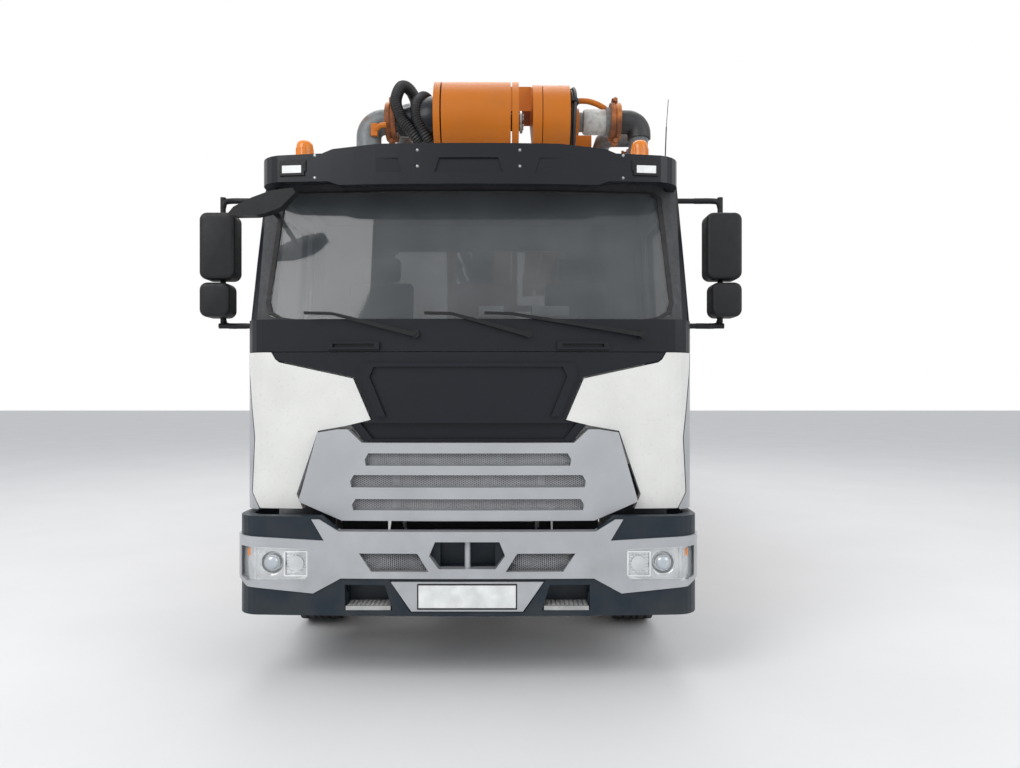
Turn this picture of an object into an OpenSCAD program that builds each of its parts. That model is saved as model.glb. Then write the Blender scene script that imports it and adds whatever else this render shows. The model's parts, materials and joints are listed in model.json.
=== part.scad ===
// Concrete pump truck: three-axle cab-over chassis, slewing turret behind the cab,
// four-section folding placing boom, hopper at the tail and four swing outriggers.
// The front looks along -Y, +X is the driver's side, +Z is up, and the ground is z = 0.

/* [Vehicle] */
// Overall length, bumper face to tail bumper
length = 11400; // [11200:50:12000]
// Width over the bumper
bumper_w = 2540; // [2480:10:2560]
// Outside diameter of every tyre
tyre_d = 1080; // [1040:10:1100]
// Width of one tyre
tyre_w = 320; // [290:5:325]

/* [Cab] */
// Depth of the cab behind the bumper face
cab_depth = 1780; // [1740:10:1800]
// Height of the cab roof above the ground
roof_z = 2930; // [2900:10:2960]
// Slope of the windscreen
screen_rake = 13; // [10:0.5:14]

/* [Boom] */
// Height of the boom root pin
root_z = 3510; // [3490:5:3540]
// Width of the first boom section
boom_1_w = 440; // [400:10:450]
// Width of the second boom section
boom_2_w = 360; // [320:10:380]
// Radius of the round noses
nose_r = 265; // [250:5:270]
// Outside diameter of the delivery pipe
pipe_d = 133; // [120:1:140]

/* [Hopper] */
// Width of the hopper at its rim
hopper_w = 1480; // [1400:10:1500]
// Height of the hopper rim
hopper_z = 1480; // [1430:10:1500]

/* [Outriggers] */
// Height of the swing arms
arm_h = 220; // [200:5:225]
// Width of the swing arms
arm_w = 180; // [160:5:190]

/* [Hidden] */
$fn = 48;
front = -length / 2;
rear = length / 2;
tyre_r = tyre_d / 2;
half_w = bumper_w / 2;
gap = 6;
fit = 1;
run = 0.3;
far = 4000;

// Places along the vehicle, as distances behind the bumper face
axle_1 = 1400;
axle_2 = length - 5250;
axle_3 = length - 3850;
turret_at = 2550;
root_at = 1300;
wheel_x = 1080;
twin_outer_x = 1075;
twin_inner_x = 725;
king_x = 880;

// Chassis rails
rail_x = 430;
rail_w = 80;
rail_top = 1050;
rail_h = 270;
rail_t = 9;

// Solid between two corners given as ranges
module block(x, y, z) {
  translate([x[0], y[0], z[0]])
    cube([x[1] - x[0], y[1] - y[0], z[1] - z[0]]);
}

// Outline in side view, y and z, spread along x
module side_prism(x, outline) {
  translate([x[0], 0, 0])
    rotate([90, 0, 90])
      linear_extrude(x[1] - x[0])
        polygon(outline);
}

// Outline in front view, x and z, spread along y
module front_prism(y, outline) {
  translate([0, y[1], 0])
    rotate([90, 0, 0])
      linear_extrude(y[1] - y[0])
        polygon(outline);
}

// Round bar along x, y or z
module bar_x(x, y, z, r) {
  translate([x[0], y, z])
    rotate([0, 90, 0])
      cylinder(h = x[1] - x[0], r = r);
}

module bar_y(x, y, z, r) {
  translate([x, y[0], z])
    rotate([-90, 0, 0])
      cylinder(h = y[1] - y[0], r = r);
}

module bar_z(x, y, z, r) {
  translate([x, y, z[0]])
    cylinder(h = z[1] - z[0], r = r);
}

// Both sides of the vehicle
module both_sides() {
  children();
  mirror([1, 0, 0])
    children();
}

// Right-hand outline made whole across the middle
function whole(half) = concat(half, [for (i = [len(half) - 1 : -1 : 0]) [-half[i][0], half[i][1]]]);
function flipped(path) = [for (i = [len(path) - 1 : -1 : 0]) [-path[i][0], path[i][1]]];
function ring(top, low) = concat(top, flipped(top), flipped([for (i = [len(low) - 1 : -1 : 0]) low[i]]),
  [for (i = [len(low) - 1 : -1 : 0]) low[i]]);

module chassis_frame() {
  color("dimgray") {
    both_sides()
      difference() {
        block([rail_x - rail_w / 2, rail_x + rail_w / 2], [front + 500, rear - 1255], [rail_top - rail_h, rail_top]);
        block([rail_x - rail_w / 2 - 1, rail_x + rail_w / 2 - rail_t], [front + 499, rear - 1254],
          [rail_top - rail_h + rail_t, rail_top - rail_t]);
      }
    for (at = [620, 2760, 3500, 4700, 5500, axle_2 + 180, axle_2 + 700, axle_3 + 500, length - 1700])
      block([-rail_x - rail_w / 2 + rail_t, rail_x + rail_w / 2 - rail_t], [front + at, front + at + 90],
        [rail_top - 200, rail_top - 40]);
    both_sides()
      union() {
        side_prism([rail_x - 40, rail_x + 40], [[front + 190, 430], [front + 190, 600], [front + 500, 940], [front + 560, 940],
          [front + 560, 781], [front + 400, 560], [front + 300, 430]]);
        for (at = [820, 1620])
          block([rail_x - 30, rail_x + 30], [front + at, front + at + 80], [rail_top, cab_low_z]);
      }
  }
}

module axles() {
  color("dimgray") {
    difference() {
      union() {
        block([-king_x, king_x], [front + axle_1 - 45, front + axle_1 + 45], [tyre_r - 60, tyre_r + 40]);
        both_sides()
          bar_z(king_x, front + axle_1, [tyre_r - 70, tyre_r + 70], 62);
      }
      both_sides()
        bar_z(king_x, front + axle_1, [tyre_r - 90, tyre_r + 90], 31 + fit);
    }
    both_sides()
      leaf_spring(front + axle_1, 620, tyre_r + 40);
    for (at = [axle_2, axle_3])
      union() {
        both_sides()
          block([rail_x - 38, rail_x + 38], [front + at - 60, front + at + 60], [tyre_r + 60, tyre_r + 149]);
        bar_x([-555, 555], front + at, tyre_r, 105);
        bar_x([-150, 150], front + at, tyre_r, 240);
        both_sides()
          bar_x([550, twin_outer_x], front + at, tyre_r, 48);
      }
    both_sides()
      union() {
        leaf_spring(front + (axle_2 + axle_3) / 2, 760, tyre_r + 105);
        bar_x([rail_x - 60, rail_x + 60], front + (axle_2 + axle_3) / 2, tyre_r + 60, 60);
        block([rail_x - 38, rail_x + 38], [front + (axle_2 + axle_3) / 2 - 60, front + (axle_2 + axle_3) / 2 + 60],
          [tyre_r + 60, rail_top - rail_h]);
      }
  }
}

// Leaf stack under a rail, resting on an axle
module leaf_spring(y, reach, z) {
  for (leaf = [[1.0, 0], [0.72, 1], [0.45, 2]])
    block([rail_x - 38, rail_x + 38], [y - reach * leaf[0], y + reach * leaf[0]],
      [z + (2 - leaf[1]) * 22, z + (3 - leaf[1]) * 22]);
  for (side = [-1, 1])
    side_prism([rail_x - 38, rail_x + 38],
      [[y + side * reach, z + 44], [y + side * reach, z + 66], [y + side * (reach - 90), rail_top - rail_h],
       [y + side * (reach - 190), rail_top - rail_h], [y + side * (reach - 90), z + 44]]);
}

module engine_block() {
  color("slategray")
    union() {
      block([-300, 300], [front + 900, front + 1960], [640, 1160]);
      for (at = [1100, 1700])
        block([-rail_x - rail_w / 2 + rail_t, rail_x + rail_w / 2 - rail_t], [front + at, front + at + 80], [900, 980]);
      block([-200, 200], [front + 1960, front + 2700], [620, 1000]);
      bar_y(0, [front + 2700, front + axle_2 - 300], 700, 55);
      difference() {
        bar_y(0, [front + axle_2 - 300, front + axle_2 - 100], 650, 60);
        bar_x([-160, 160], front + axle_2, tyre_r, 240);
      }
    }
}

// One wheel and tyre about the z axis, outer face up
function wheel_profile(hub) = [
  [48 + fit, 20], [250, 20], [262, -tyre_w / 2 + 20], [290, -tyre_w / 2 + 8], [330, -tyre_w / 2 + 2],
  [tyre_r - 70, -tyre_w / 2], [tyre_r - 14, -tyre_w / 2 + 24], [tyre_r, -tyre_w / 2 + 60],
  [tyre_r, tyre_w / 2 - 60], [tyre_r - 14, tyre_w / 2 - 24], [tyre_r - 70, tyre_w / 2],
  [330, tyre_w / 2 - 2], [290, tyre_w / 2 - 8], [270, tyre_w / 2 - 20], [262, 44], [150, 44],
  [130, hub], [0, hub], [0, hub - 40], [48 + fit, hub - 40]];

module wheel(hub) {
  rotate_extrude()
    polygon(wheel_profile(hub));
}

module front_wheel(side) {
  color("dimgray")
    translate([side * wheel_x, front + axle_1, tyre_r])
      rotate([0, side * 90, 0])
        wheel(150);
}

// Inner wheel of a twin pair, with the drum that carries both
function twin_profile(spread) = [
  [48 + fit, -spread - 150], [180, -spread - 150], [200, -spread - 40], [200, 20], [48 + fit, 20]];

module twin_wheels(side, at) {
  spread = twin_outer_x - twin_inner_x;
  color("dimgray")
    translate([side * twin_outer_x, front + at, tyre_r])
      rotate([0, side * 90, 0])
        union() {
          wheel(110);
          translate([0, 0, -spread])
            mirror([0, 0, 1])
              wheel_ring();
          rotate_extrude()
            polygon(twin_profile(spread));
        }
}

// Wheel without a hub cap, for the inside of a pair
module wheel_ring() {
  rotate_extrude()
    polygon([[190, 20], [250, 20], [262, -tyre_w / 2 + 20], [290, -tyre_w / 2 + 8], [330, -tyre_w / 2 + 2],
      [tyre_r - 70, -tyre_w / 2], [tyre_r - 14, -tyre_w / 2 + 24], [tyre_r, -tyre_w / 2 + 60],
      [tyre_r, tyre_w / 2 - 60], [tyre_r - 14, tyre_w / 2 - 24], [tyre_r - 70, tyre_w / 2],
      [330, tyre_w / 2 - 2], [290, tyre_w / 2 - 8], [270, tyre_w / 2 - 20], [262, 44], [190, 44]]);
}

module knuckle(side) {
  color("dimgray")
    translate([side * king_x, front + axle_1, tyre_r])
      scale_side(side)
        union() {
          bar_z(0, 0, [-125, 125], 31);
          for (z = [-125, 80])
            union() {
              bar_z(0, 0, [z, z + 45], 60);
              block([0, 110], [-45, 45], [z, z + 45]);
            }
          block([75, 110], [-90, 90], [-125, 125]);
          bar_x([100, 300], 0, 0, 48);
        }
}

module scale_side(side) {
  mirror([side > 0 ? 0 : 1, 0, 0])
    children();
}

// Cab surfaces
belt_z = 2010;
cab_low_z = 1200;
face_at = 120;
screen_at = 200;
side_lean = 45;
bow = 45;
corner_r = 150;
wall = 60;
skin = 60;
arch_r = tyre_r + 110;
door_from = 480;
door_to = 1400;
door_low_z = 1260;
door_top_z = 2790;

// Plan outline with a bowed front and round front corners
function cab_outline(hw, y0, y1, r, bend) = concat(
  [for (i = [-8 : 8]) [(hw - r) * i / 8, y0 + bend * pow(i / 8, 2)]],
  [for (k = [1 : 6]) [hw - r + r * sin(15 * k), y0 + bend + r * (1 - cos(15 * k))]],
  [[hw, y1], [-hw, y1]],
  [for (k = [6 : -1 : 1]) [r - hw - r * sin(15 * k), y0 + bend + r * (1 - cos(15 * k))]]);

// Upright body under the belt line
module cab_lower(inset, z) {
  translate([0, 0, z[0]])
    linear_extrude(z[1] - z[0])
      polygon(cab_outline(half_w - 5 - inset, front + face_at + inset, front + cab_depth - inset, corner_r - inset / 2, bow));
}

// Raked body above the belt line, with sides that lean in
module cab_upper(inset, top) {
  intersection() {
    translate([0, front + screen_at + inset, belt_z])
      rotate([-screen_rake, 0, 0])
        translate([0, 0, -300])
          linear_extrude(1600)
            polygon(cab_outline(half_w + 25 - inset, 0, far, corner_r + 10 - inset / 2, bow));
    front_prism([front, front + cab_depth - inset],
      whole([[half_w - 5 - inset, belt_z], [half_w - 5 - side_lean - inset, top]]));
  }
}

// Glass outline of the windscreen, right half in front view
screen_edge = [[1077, belt_z + 3], [1144, belt_z + 34], [1166, belt_z + 104], [1122, 2752], [1078, 2779]];

// Rear window outline, right half
rear_window = [[620, 2680], [650, 2650], [650, 2150], [620, 2120]];

// Door opening outline in side view
function door_edge(inset) = [
  [front + door_from + inset, door_low_z + inset], [front + door_to - 60 - inset, door_low_z + inset],
  [front + door_to - inset, door_low_z + 160], [front + door_to - inset, door_top_z - inset],
  [front + door_from + 130 + inset, door_top_z - inset], [front + door_from + inset, belt_z]];

function door_window(inset) = [
  [front + door_from + 90 + inset, belt_z - 130 + inset], [front + door_to - 80 - inset, belt_z - 70 + inset],
  [front + door_to - 80 - inset, door_top_z - 80 - inset], [front + door_from + 215 + inset, door_top_z - 80 - inset],
  [front + door_from + 90 + inset, belt_z + 60]];

// Door hinge knuckles, middle heights
hinge_z_table = [1450, 1850];
module door_pin(z, r) {
  bar_z(half_w - 5, front + door_from + gap, z, r);
}

module cab_shell() {
  color("whitesmoke")
    difference() {
      union() {
        both_sides()
          for (z = hinge_z_table)
            for (low = [z - 45, z + 20 + run])
              door_pin([low, low + 25 - run], 14);
        difference() {
          cab_lower(0, [cab_low_z, belt_z]);
          front_skin([cab_low_z - 10, belt_z - 4]);
        }
        cab_upper(0, roof_z);
      }
      cab_lower(skin + wall, [cab_low_z + wall, belt_z + 1]);
      intersection() {
        cab_lower(wall, [cab_low_z + wall, belt_z + 1]);
        block([-half_w, half_w], [front + door_from - 2, front + far], [cab_low_z, belt_z + 1]);
      }
      cab_upper(wall, roof_z - wall);
      intersection() {
        difference() {
          cab_lower(skin - 1, [cab_low_z - 1, 1325]);
          cab_lower(skin + 12, [cab_low_z - 2, 1326]);
        }
        block([-700, 700], [front, front + 400], [cab_low_z - 1, 1325]);
      }
      front_prism([front, front + 700], whole(screen_edge));
      both_sides()
        difference() {
          side_prism([half_w - 320, half_w + 50], door_edge(0));
          for (z = hinge_z_table)
            for (low = [z - 45, z + 20 + run])
              door_pin([low, low + 25 - run], 14);
        }
      both_sides()
        for (z = hinge_z_table)
          door_pin([z - 20 - run, z + 20 + run], 15);
      both_sides()
        bar_x([half_w - 480, half_w + 50], front + axle_1, tyre_r, arch_r);
      front_prism([front + cab_depth - 200, front + cab_depth + 10], whole(rear_window));
    }
}

// Front edge of the seats, set by the depth of the cab
seat_y = front + cab_depth - 860;
module cab_interior() {
  color("black")
    union() {
      intersection() {
        block([-half_w, half_w], [front + 200, front + 560], [1640, 1900]);
        cab_lower(skin + wall, [1640, 1900]);
      }
      block([-420, 420], [front + 560, front + cab_depth - 130], [cab_low_z + wall, 1480]);
      for (x = [-720, 720])
        union() {
          block([x - 220, x + 220], [seat_y + 40, seat_y + 500], [cab_low_z + wall, 1640]);
          block([x - 240, x + 240], [seat_y, seat_y + 540], [1600, 1740]);
          side_prism([x - 230, x + 230],
            [[seat_y + 420, 1740], [seat_y + 540, 1700], [seat_y + 680, 2420], [seat_y + 580, 2440]]);
          side_prism([x - 130, x + 130],
            [[seat_y + 590, 2440], [seat_y + 680, 2420], [seat_y + 710, 2620], [seat_y + 620, 2620]]);
        }
      for (x = [-720, 720])
        block([x - 200, x + 200], [front + 400, front + 1000], [cab_low_z + wall, cab_low_z + wall + 40]);
      translate([720, front + 690, 1880])
        rotate([-55, 0, 0])
          union() {
            rotate_extrude()
              translate([215, 0])
                circle(r = 17);
            for (turn = [0, 120, 240])
              rotate([0, 0, turn + 90])
                translate([0, -16, -8])
                  cube([215, 32, 16]);
            cylinder(h = 40, r = 60, center = true);
            translate([0, 0, -300])
              cylinder(h = 300, r = 35);
          }
    }
}

module windscreen() {
  color("lightblue")
    intersection() {
      difference() {
        cab_upper(6, roof_z);
        cab_upper(18, roof_z);
      }
      front_prism([front, front + 600], whole(screen_edge));
    }
  color("lightblue")
    front_prism([front + cab_depth - 34, front + cab_depth - 26], whole(rear_window));
}

// Front panels share one curved face, drawn as front-view outlines
module front_skin(z) {
  difference() {
    cab_lower(0, z);
    cab_lower(skin, [z[0] - 1, z[1] + 1]);
    block([-half_w, half_w], [front + 470, front + far], [z[0] - 2, z[1] + 2]);
  }
}

band_z = 1830;
white_edge = [[1254, band_z - 4], [1101, band_z - 4], [1079, 1788], [1056, 1770], [639, 1680], [541, 1452], [680, 1418],
  [836, 1390], [957, 1038], [922, 958], [1166, 958], [1218, 1043], [1200, 1350], [1247, 1731]];
centre_edge = [[1097, band_z - 4], [1075, 1794], [1054, 1778], [633, 1688], [531, 1448], [652, 1424], [576, 1331]];
grille_top = [[934, 1003], [827, 1383], [668, 1408], [581, 1327]];
grille_low = [[692, 901]];

module cut_front(z, outline) {
  intersection() {
    front_skin(z);
    front_prism([front, front + 500], outline);
  }
}

module white_panels() {
  color("white")
    both_sides()
      cut_front([950, band_z], white_edge);
}

// Dark band under the glass and the panel that narrows towards the grille
module dark_panels() {
  front_guards();
  color("darkslategray") {
    both_sides()
      intersection() {
        difference() {
          cab_lower(-20, [1840, 1884]);
          cab_lower(0, [1839, 1885]);
          front_prism([front, front + 500], [[520, 1872], [750, 1872], [750, 1852], [520, 1852]]);
        }
        block([490, 780], [front, front + 500], [1840, 1884]);
      }
    cut_front([band_z, belt_z - 4], whole([[half_w + 5, belt_z], [half_w + 5, band_z - 2]]));
    difference() {
      cut_front([1200, band_z - 4], whole(centre_edge));
      front_prism([front, front + face_at + 47], whole([[600, 1434], [530, 1345]]));
    }
    intersection() {
      difference() {
        cab_lower(-22, [1440, 1800]);
        cab_lower(3, [1439, 1801]);
      }
      front_prism([front, front + 500], whole([[590, 1765], [600, 1700], [505, 1470], [455, 1470], [545, 1690], [520, 1745]]));
    }
  }
}

module front_guards() {
  color("darkslategray")
    both_sides()
      difference() {
        bar_x([half_w - 400, half_w - 8], front + axle_1, tyre_r, arch_r + 60, $fn = 144);
        bar_x([half_w - 401, half_w - 7], front + axle_1, tyre_r, arch_r + 36, $fn = 144);
        block([half_w - 402, half_w], [front + axle_1 - far, front + axle_1 + far], [-far, 760]);
        block([half_w - 402, half_w], [front + axle_1 - far, front + axle_1 + far], [cab_low_z, cab_low_z + 200]);
        block([half_w - 402, half_w], [front, front + 720], [0, cab_low_z]);
        block([half_w - 402, half_w], [front + axle_1 + 100, front + far], [0, arm_low + arm_h + 90]);
      }
}

module silver_panels() {
  color("silver") {
    both_sides()
      difference() {
        cut_front([950, band_z], [[half_w + 5, band_z - 4], [1260, band_z - 4], [1253, 1731], [1206, 1350], [1224, 1043],
          [1172, 958], [1181, 950], [half_w + 5, 950]]);
        bar_x([0, half_w + 50], front + axle_1, tyre_r, arch_r);
      }
    difference() {
      intersection() {
        difference() {
          cab_lower(-45, [880, 1400]);
          cab_lower(skin, [870, 1401]);
          block([-half_w, half_w], [front + 400, front + far], [800, 1500]);
        }
        front_prism([front, front + 450], ring(grille_top, grille_low));
      }
      for (slot = [[560, 1270, 1202], [640, 1151, 1083], [630, 1020, 958]])
        front_prism([front, front + 450],
          whole([[slot[0] - 14, slot[1]], [slot[0] + 6, (slot[1] + slot[2]) / 2], [slot[0], slot[2]]]));
    }
  }
}

module grille_mesh() {
  color("black")
    both_sides()
      intersection() {
        difference() {
          cab_lower(skin, [900, 1320]);
          cab_lower(skin + 8, [890, 1330]);
        }
        block([0, 680], [front, front + 400], [910, 1310]);
      }
}

visor_half = 1200;
module visor_plan(out, z) {
  translate([0, 0, z[0]])
    linear_extrude(z[1] - z[0])
      polygon(cab_outline(visor_half + out, front + 150 - out, front + 470, 160 + out, 60));
}

module visor() {
  color("darkslategray") {
    difference() {
      visor_plan(0, [2700, 3040]);
      cab_upper(0, roof_z);
      translate([0, 0, 2600])
        linear_extrude(300)
          polygon(cab_outline(visor_half - 55, front + 215, front + 520, 130, 60));
      front_prism([front, front + 600], [[-1300, 3060], [-1300, 2937], [-825, 2943], [-765, 2966], [-500, 2990],
        [500, 2990], [765, 2966], [825, 2943], [1300, 2937], [1300, 3060]]);
      front_prism([front, front + 600], [[-1300, 2690], [-1300, 2792], [-790, 2786], [-725, 2764], [725, 2764],
        [790, 2786], [1300, 2792], [1300, 2690]]);
      for (x = [-560, 0, 560])
        front_prism([front, front + 165], [[x - 190, 2830], [x + 190, 2830], [x + 165, 2910], [x - 165, 2910]]);
    }
  }
}

// Bumper layers, each an outline on the same curved shell
bumper_low = 400;
bumper_top = 934;
lamp_edge = [[1234, 772], [861, 758], [861, 612], [886, 590], [1201, 586], [1234, 610]];
silver_top = [[1283, 830], [772, 805], [840, 919], [797, 919], [692, 855]];
silver_low = [[1283, 614], [1194, 554], [831, 521], [681, 603]];
vent_edge = [[582, 738], [268, 738], [207, 640], [516, 640]];
tow_edge = [[173, 800], [204, 725], [153, 655]];
step_edge = [[660, 567], [443, 567], [402, 431], [660, 431]];

module bumper_shell(out, thick, z) {
  difference() {
    translate([0, 0, z[0]])
      linear_extrude(z[1] - z[0])
        polygon(cab_outline(half_w - 10 + out, front + 10 - out, front + 640, 130, 32));
    translate([0, 0, z[0] - 1])
      linear_extrude(z[1] - z[0] + 2)
        polygon(cab_outline(half_w - 10 - thick, front + 10 + thick, front + 700, 130 - thick / 2, 32));
  }
}

module bumper_silver() {
  color("silver") {
    difference() {
      intersection() {
        bumper_shell(10, 60, [500, 920]);
        front_prism([front - 5, front + 700], ring(silver_top, silver_low));
      }
      both_sides()
        front_prism([front - 5, front + 420], lamp_edge);
      both_sides()
        front_prism([front - 5, front + 420], vent_edge);
      front_prism([front - 5, front + 420], whole(tow_edge));
    }
    bar_z(0, front + 45, [640, 820], 16);
    difference() {
      front_prism([front + 3, front + 72], whole([[410, 586], [300, 428]]));
      block([-268, 268], [front + 2, front + 7], [440, 574]);
    }
  }
}

module bumper_dark() {
  color("darkslategray")
    difference() {
      union() {
        difference() {
          bumper_shell(0, 60, [bumper_low, bumper_top]);
          front_prism([front - 5, front + 700], ring(silver_top, silver_low));
          front_prism([front - 5, front + 700], whole([[692, 853], [802, 940]]));
          both_sides()
            front_prism([front - 5, front + 420], step_edge);
        }
        block([-1000, 1000], [front + 72, front + 190], [bumper_low + 20, 515]);
        block([-695, 695], [front + 112, front + 190], [514, 600]);
        difference() {
          block([-190, 190], [front + 73, front + 190], [599, 840]);
          block([-150, 150], [front + 72, front + 150], [655, 802]);
        }
      }
      front_prism([front, front + 72], whole([[420, 592], [307, 422]]));
      both_sides()
        front_prism([front - 5, front + 150], [[655, 567], [447, 567], [409, 449], [655, 449]]);
    }
}

module headlamps() {
  color("lightgray") {
    both_sides()
      difference() {
        intersection() {
          bumper_shell(-6, 130, [570, 790]);
          front_prism([front - 5, front + 300], lamp_edge);
        }
        bar_y(1060, [front - 5, front + 95], 680, 66);
        bar_y(925, [front - 5, front + 60], 680, 56);
      }
    both_sides()
      union() {
        bar_y(1060, [front + 50, front + 96], 680, 44);
        bar_y(925, [front + 30, front + 61], 680, 40);
      }
  }
}

// Beacons, roof markers and tail lamps
module signal_lamps() {
  color("orange") {
    both_sides()
      union() {
        bar_z(1020, front + 560, [roof_z, roof_z + 70], 50);
        bar_z(1020, front + 560, [roof_z + 70, roof_z + 183], 44);
      }
    both_sides()
      intersection() {
        difference() {
          visor_plan(8, [2846, 2908]);
          visor_plan(0, [2840, 2920]);
        }
        block([916, 1066], [front, front + 300], [2846, 2908]);
      }
    both_sides()
      block([860, 1190], [rear - 70, rear - 5], [600, 720]);
  }
}

// Rectangle with cut corners
function cut_box(x, z, k) = [[x[0] + k, z[1]], [x[1] - k, z[1]], [x[1], z[1] - k], [x[1], z[0] + k],
  [x[1] - k, z[0]], [x[0] + k, z[0]], [x[0], z[0] + k], [x[0], z[1] - k]];

module mirror_head(x, z) {
  front_prism([front + 400, front + 492], cut_box(x, z, 32));
  front_prism([front + 372, front + 401], cut_box([x[0] + 18, x[1] - 18], [z[0] + 18, z[1] - 18], 30));
}

// Kerb mirror shell in front view, its outer end hanging lower
kerb_shell = [[-1304, 2580], [-1275, 2614], [-1174, 2665], [-1072, 2702], [-953, 2717],
  [-938, 2690], [-1020, 2609], [-1094, 2580], [-1151, 2568], [-1285, 2566]];

module mirrors() {
  color("black") {
    both_sides()
      difference() {
        union() {
          mirror_head([1385, 1590], [2270, 2655]);
          mirror_head([1415, 1590], [2050, 2245]);
          bar_x([1150, 1506], front + 505, 2755, 16);
          bar_z(1490, front + 487, [1990, 2771], 16);
          bar_x([1150, 1506], front + 468, 2000, 16);
        }
        cab_upper(0, roof_z);
        cab_lower(0, [cab_low_z, belt_z]);
      }
    difference() {
      union() {
        front_prism([front + 60, front + 130], kerb_shell);
        bar_y(-1130, [front + 100, front + 520], 2640, 14);
      }
      cab_upper(0, roof_z);
    }
  }
}

module wipers() {
  color("black")
    for (x = [[-290, -900], [330, -240], [960, 90]])
      difference() {
        union() {
          bar_y(x[0], [front + 95, front + 205], belt_z - 85, 22);
          front_prism([front + 90, front + 110], [[x[0] - 10, belt_z - 100], [x[0] + 14, belt_z - 80],
            [x[1] + 150, belt_z + 34], [x[1], belt_z + 38], [x[1], belt_z + 22], [x[1] + 150, belt_z + 18]]);
        }
        cab_lower(0, [belt_z - 200, belt_z]);
      }
}

// Platform, mudguards, ladder and boom rest
deck_z = 1320;
module deck() {
  color("dimgray") {
    union() {
      both_sides()
        block([480, half_w], [front + 3050, rear - 1350], [deck_z, deck_z + 30]);
      for (at = [3100, 4200, 5300])
        block([-half_w + 10, half_w - 10], [front + at, front + at + 80], [deck_z - 80, deck_z]);
      for (at = [axle_2 + 700, axle_3 + 750, length - 1500])
        both_sides()
          block([350, half_w - 10], [front + at, front + at + 80], [deck_z - 80, deck_z]);
      both_sides()
        block([half_w - 40, half_w], [front + 3050, rear - 1350], [deck_z - 90, deck_z]);
    }
    for (at = [3100, 4200, axle_2 + 700, axle_3 + 750, length - 1500])
      both_sides()
        block([rail_x - 40, rail_x - 6], [front + at, front + at + 80], [rail_top, deck_z - 80 - run]);
    // Mudguard bows, each hung from the platform by a stay
    for (at = [axle_2, axle_3])
      both_sides()
        union() {
          difference() {
            bar_x([575, half_w], front + at, tyre_r, tyre_r + 90);
            bar_x([500, half_w + 10], front + at, tyre_r, tyre_r + 75);
            block([500, half_w + 10], [front + at - 700, front + at + 700], [-200, tyre_r + 150]);
          }
          block([900, 940], [front + at - 20, front + at + 20], [tyre_r + tyre_r + 80, deck_z - run]);
        }
    // Rest that carries the folded boom
    union() {
      both_sides()
        side_prism([600, 680], [[rear - 1840, deck_z + 30 + run], [rear - 1740, deck_z + 30 + run],
          [rear - 1760, 3060], [rear - 1840, 3060]]);
      block([-680, 680], [rear - 1855, rear - 1745], [3060, 3160]);
      block([-230, 230], [rear - 1870, rear - 1730], [3160, root_z - 254]);
    }
  }
}

// Tanks and lockers, each [inner x, outer x, from, to, top]
tank_table = [[600, 1190, 3350, 4650, 2050], [-1190, -600, 3350, 4950, 1950], [-1190, -620, 5100, 5900, 1900]];

module side_tanks() {
  color("gainsboro") {
    for (t = tank_table)
      union() {
        front_prism([front + t[2], front + t[3]], cut_box([t[0], t[1]], [deck_z + 30, t[4]], 70));
        for (at = [t[2] + 150, t[3] - 210])
          front_prism([front + at, front + at + 60], cut_box([t[0] - 6, t[1] + 6], [deck_z + 30, t[4] + 6], 72));
      }
    bar_z(890, front + 4000, [2049, 2090], 120);
    bar_z(890, front + 4000, [2090, 2110], 90);
    for (at = [3900, 4400])
      block([-1060, -730], [front + at - 30, front + at], [1950, 1972]);
    union() {
      bar_y(700, [front + 1990, front + 2150], 860, 170);
      block([rail_x + rail_w / 2, 700], [front + 2030, front + 2110], [830, 890]);
    }
  }
}

// Subframe that carries the slewing ring and the arm pins
pin_x = 800;
arm_low = 810;
front_pin_at = 2380;
rear_pin_at = length - 2850;
front_arm_l = 2750;
rear_arm_l = 1900;

line_x = -500;
line_z = 1160;
module outrigger_frame() {
  color("darkgray")
    difference() {
      outrigger_solid();
      bar_y(line_x, [front + rear_pin_at - 200, front + rear_pin_at + 200], line_z, pipe_d / 2 + 10);
    }
}

module outrigger_solid() {
    union() {
      block([-620, 620], [front + turret_at - 420, front + turret_at + 420], [rail_top, deck_z - 20]);
      bar_z(0, front + turret_at, [deck_z - 20, deck_z + 60], 480);
      for (at = [front_pin_at, rear_pin_at])
        both_sides()
          arm_clevis(at);
      block([-620, 620], [front + rear_pin_at - 150, front + rear_pin_at + 150], [rail_top - rail_h - 90, rail_top - rail_h]);
    }
}

module arm_clevis(at) {
  for (z = [[arm_low - 70, arm_low - gap], [arm_low + arm_h + gap, arm_low + arm_h + 76]])
    block([rail_x + rail_w / 2, pin_x + 120], [front + at - 110, front + at + 110], z);
  block([rail_x + rail_w / 2, rail_x + rail_w / 2 + 150], [front + at - 110, front + at + 110],
    [arm_low - 70, rail_top + 120]);
  bar_z(pin_x, front + at, [arm_low - 75, arm_low + arm_h + 80], 45);
}

// Swing arm along the side, with the guide tube of its jack leg at the end
leg_w = 110;
leg_low = 330;
module swing_arm(side, at, reach) {
  color("darkorange")
    scale_side(side)
      difference() {
        union() {
          bar_z(pin_x, front + at, [arm_low, arm_low + arm_h], 115);
          linear_extrude_arm(at, reach);
          block([pin_x + 130, pin_x + 290], [front + at + reach - 80, front + at + reach + 80], [620, 1215]);
        }
        bar_z(pin_x, front + at, [arm_low - 10, arm_low + arm_h + 10], 45 + fit);
        block([pin_x + 210 - leg_w / 2 - run, pin_x + 210 + leg_w / 2 + run],
          [front + at + reach - leg_w / 2 - run, front + at + reach + leg_w / 2 + run], [600, 1195]);
      }
}

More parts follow.
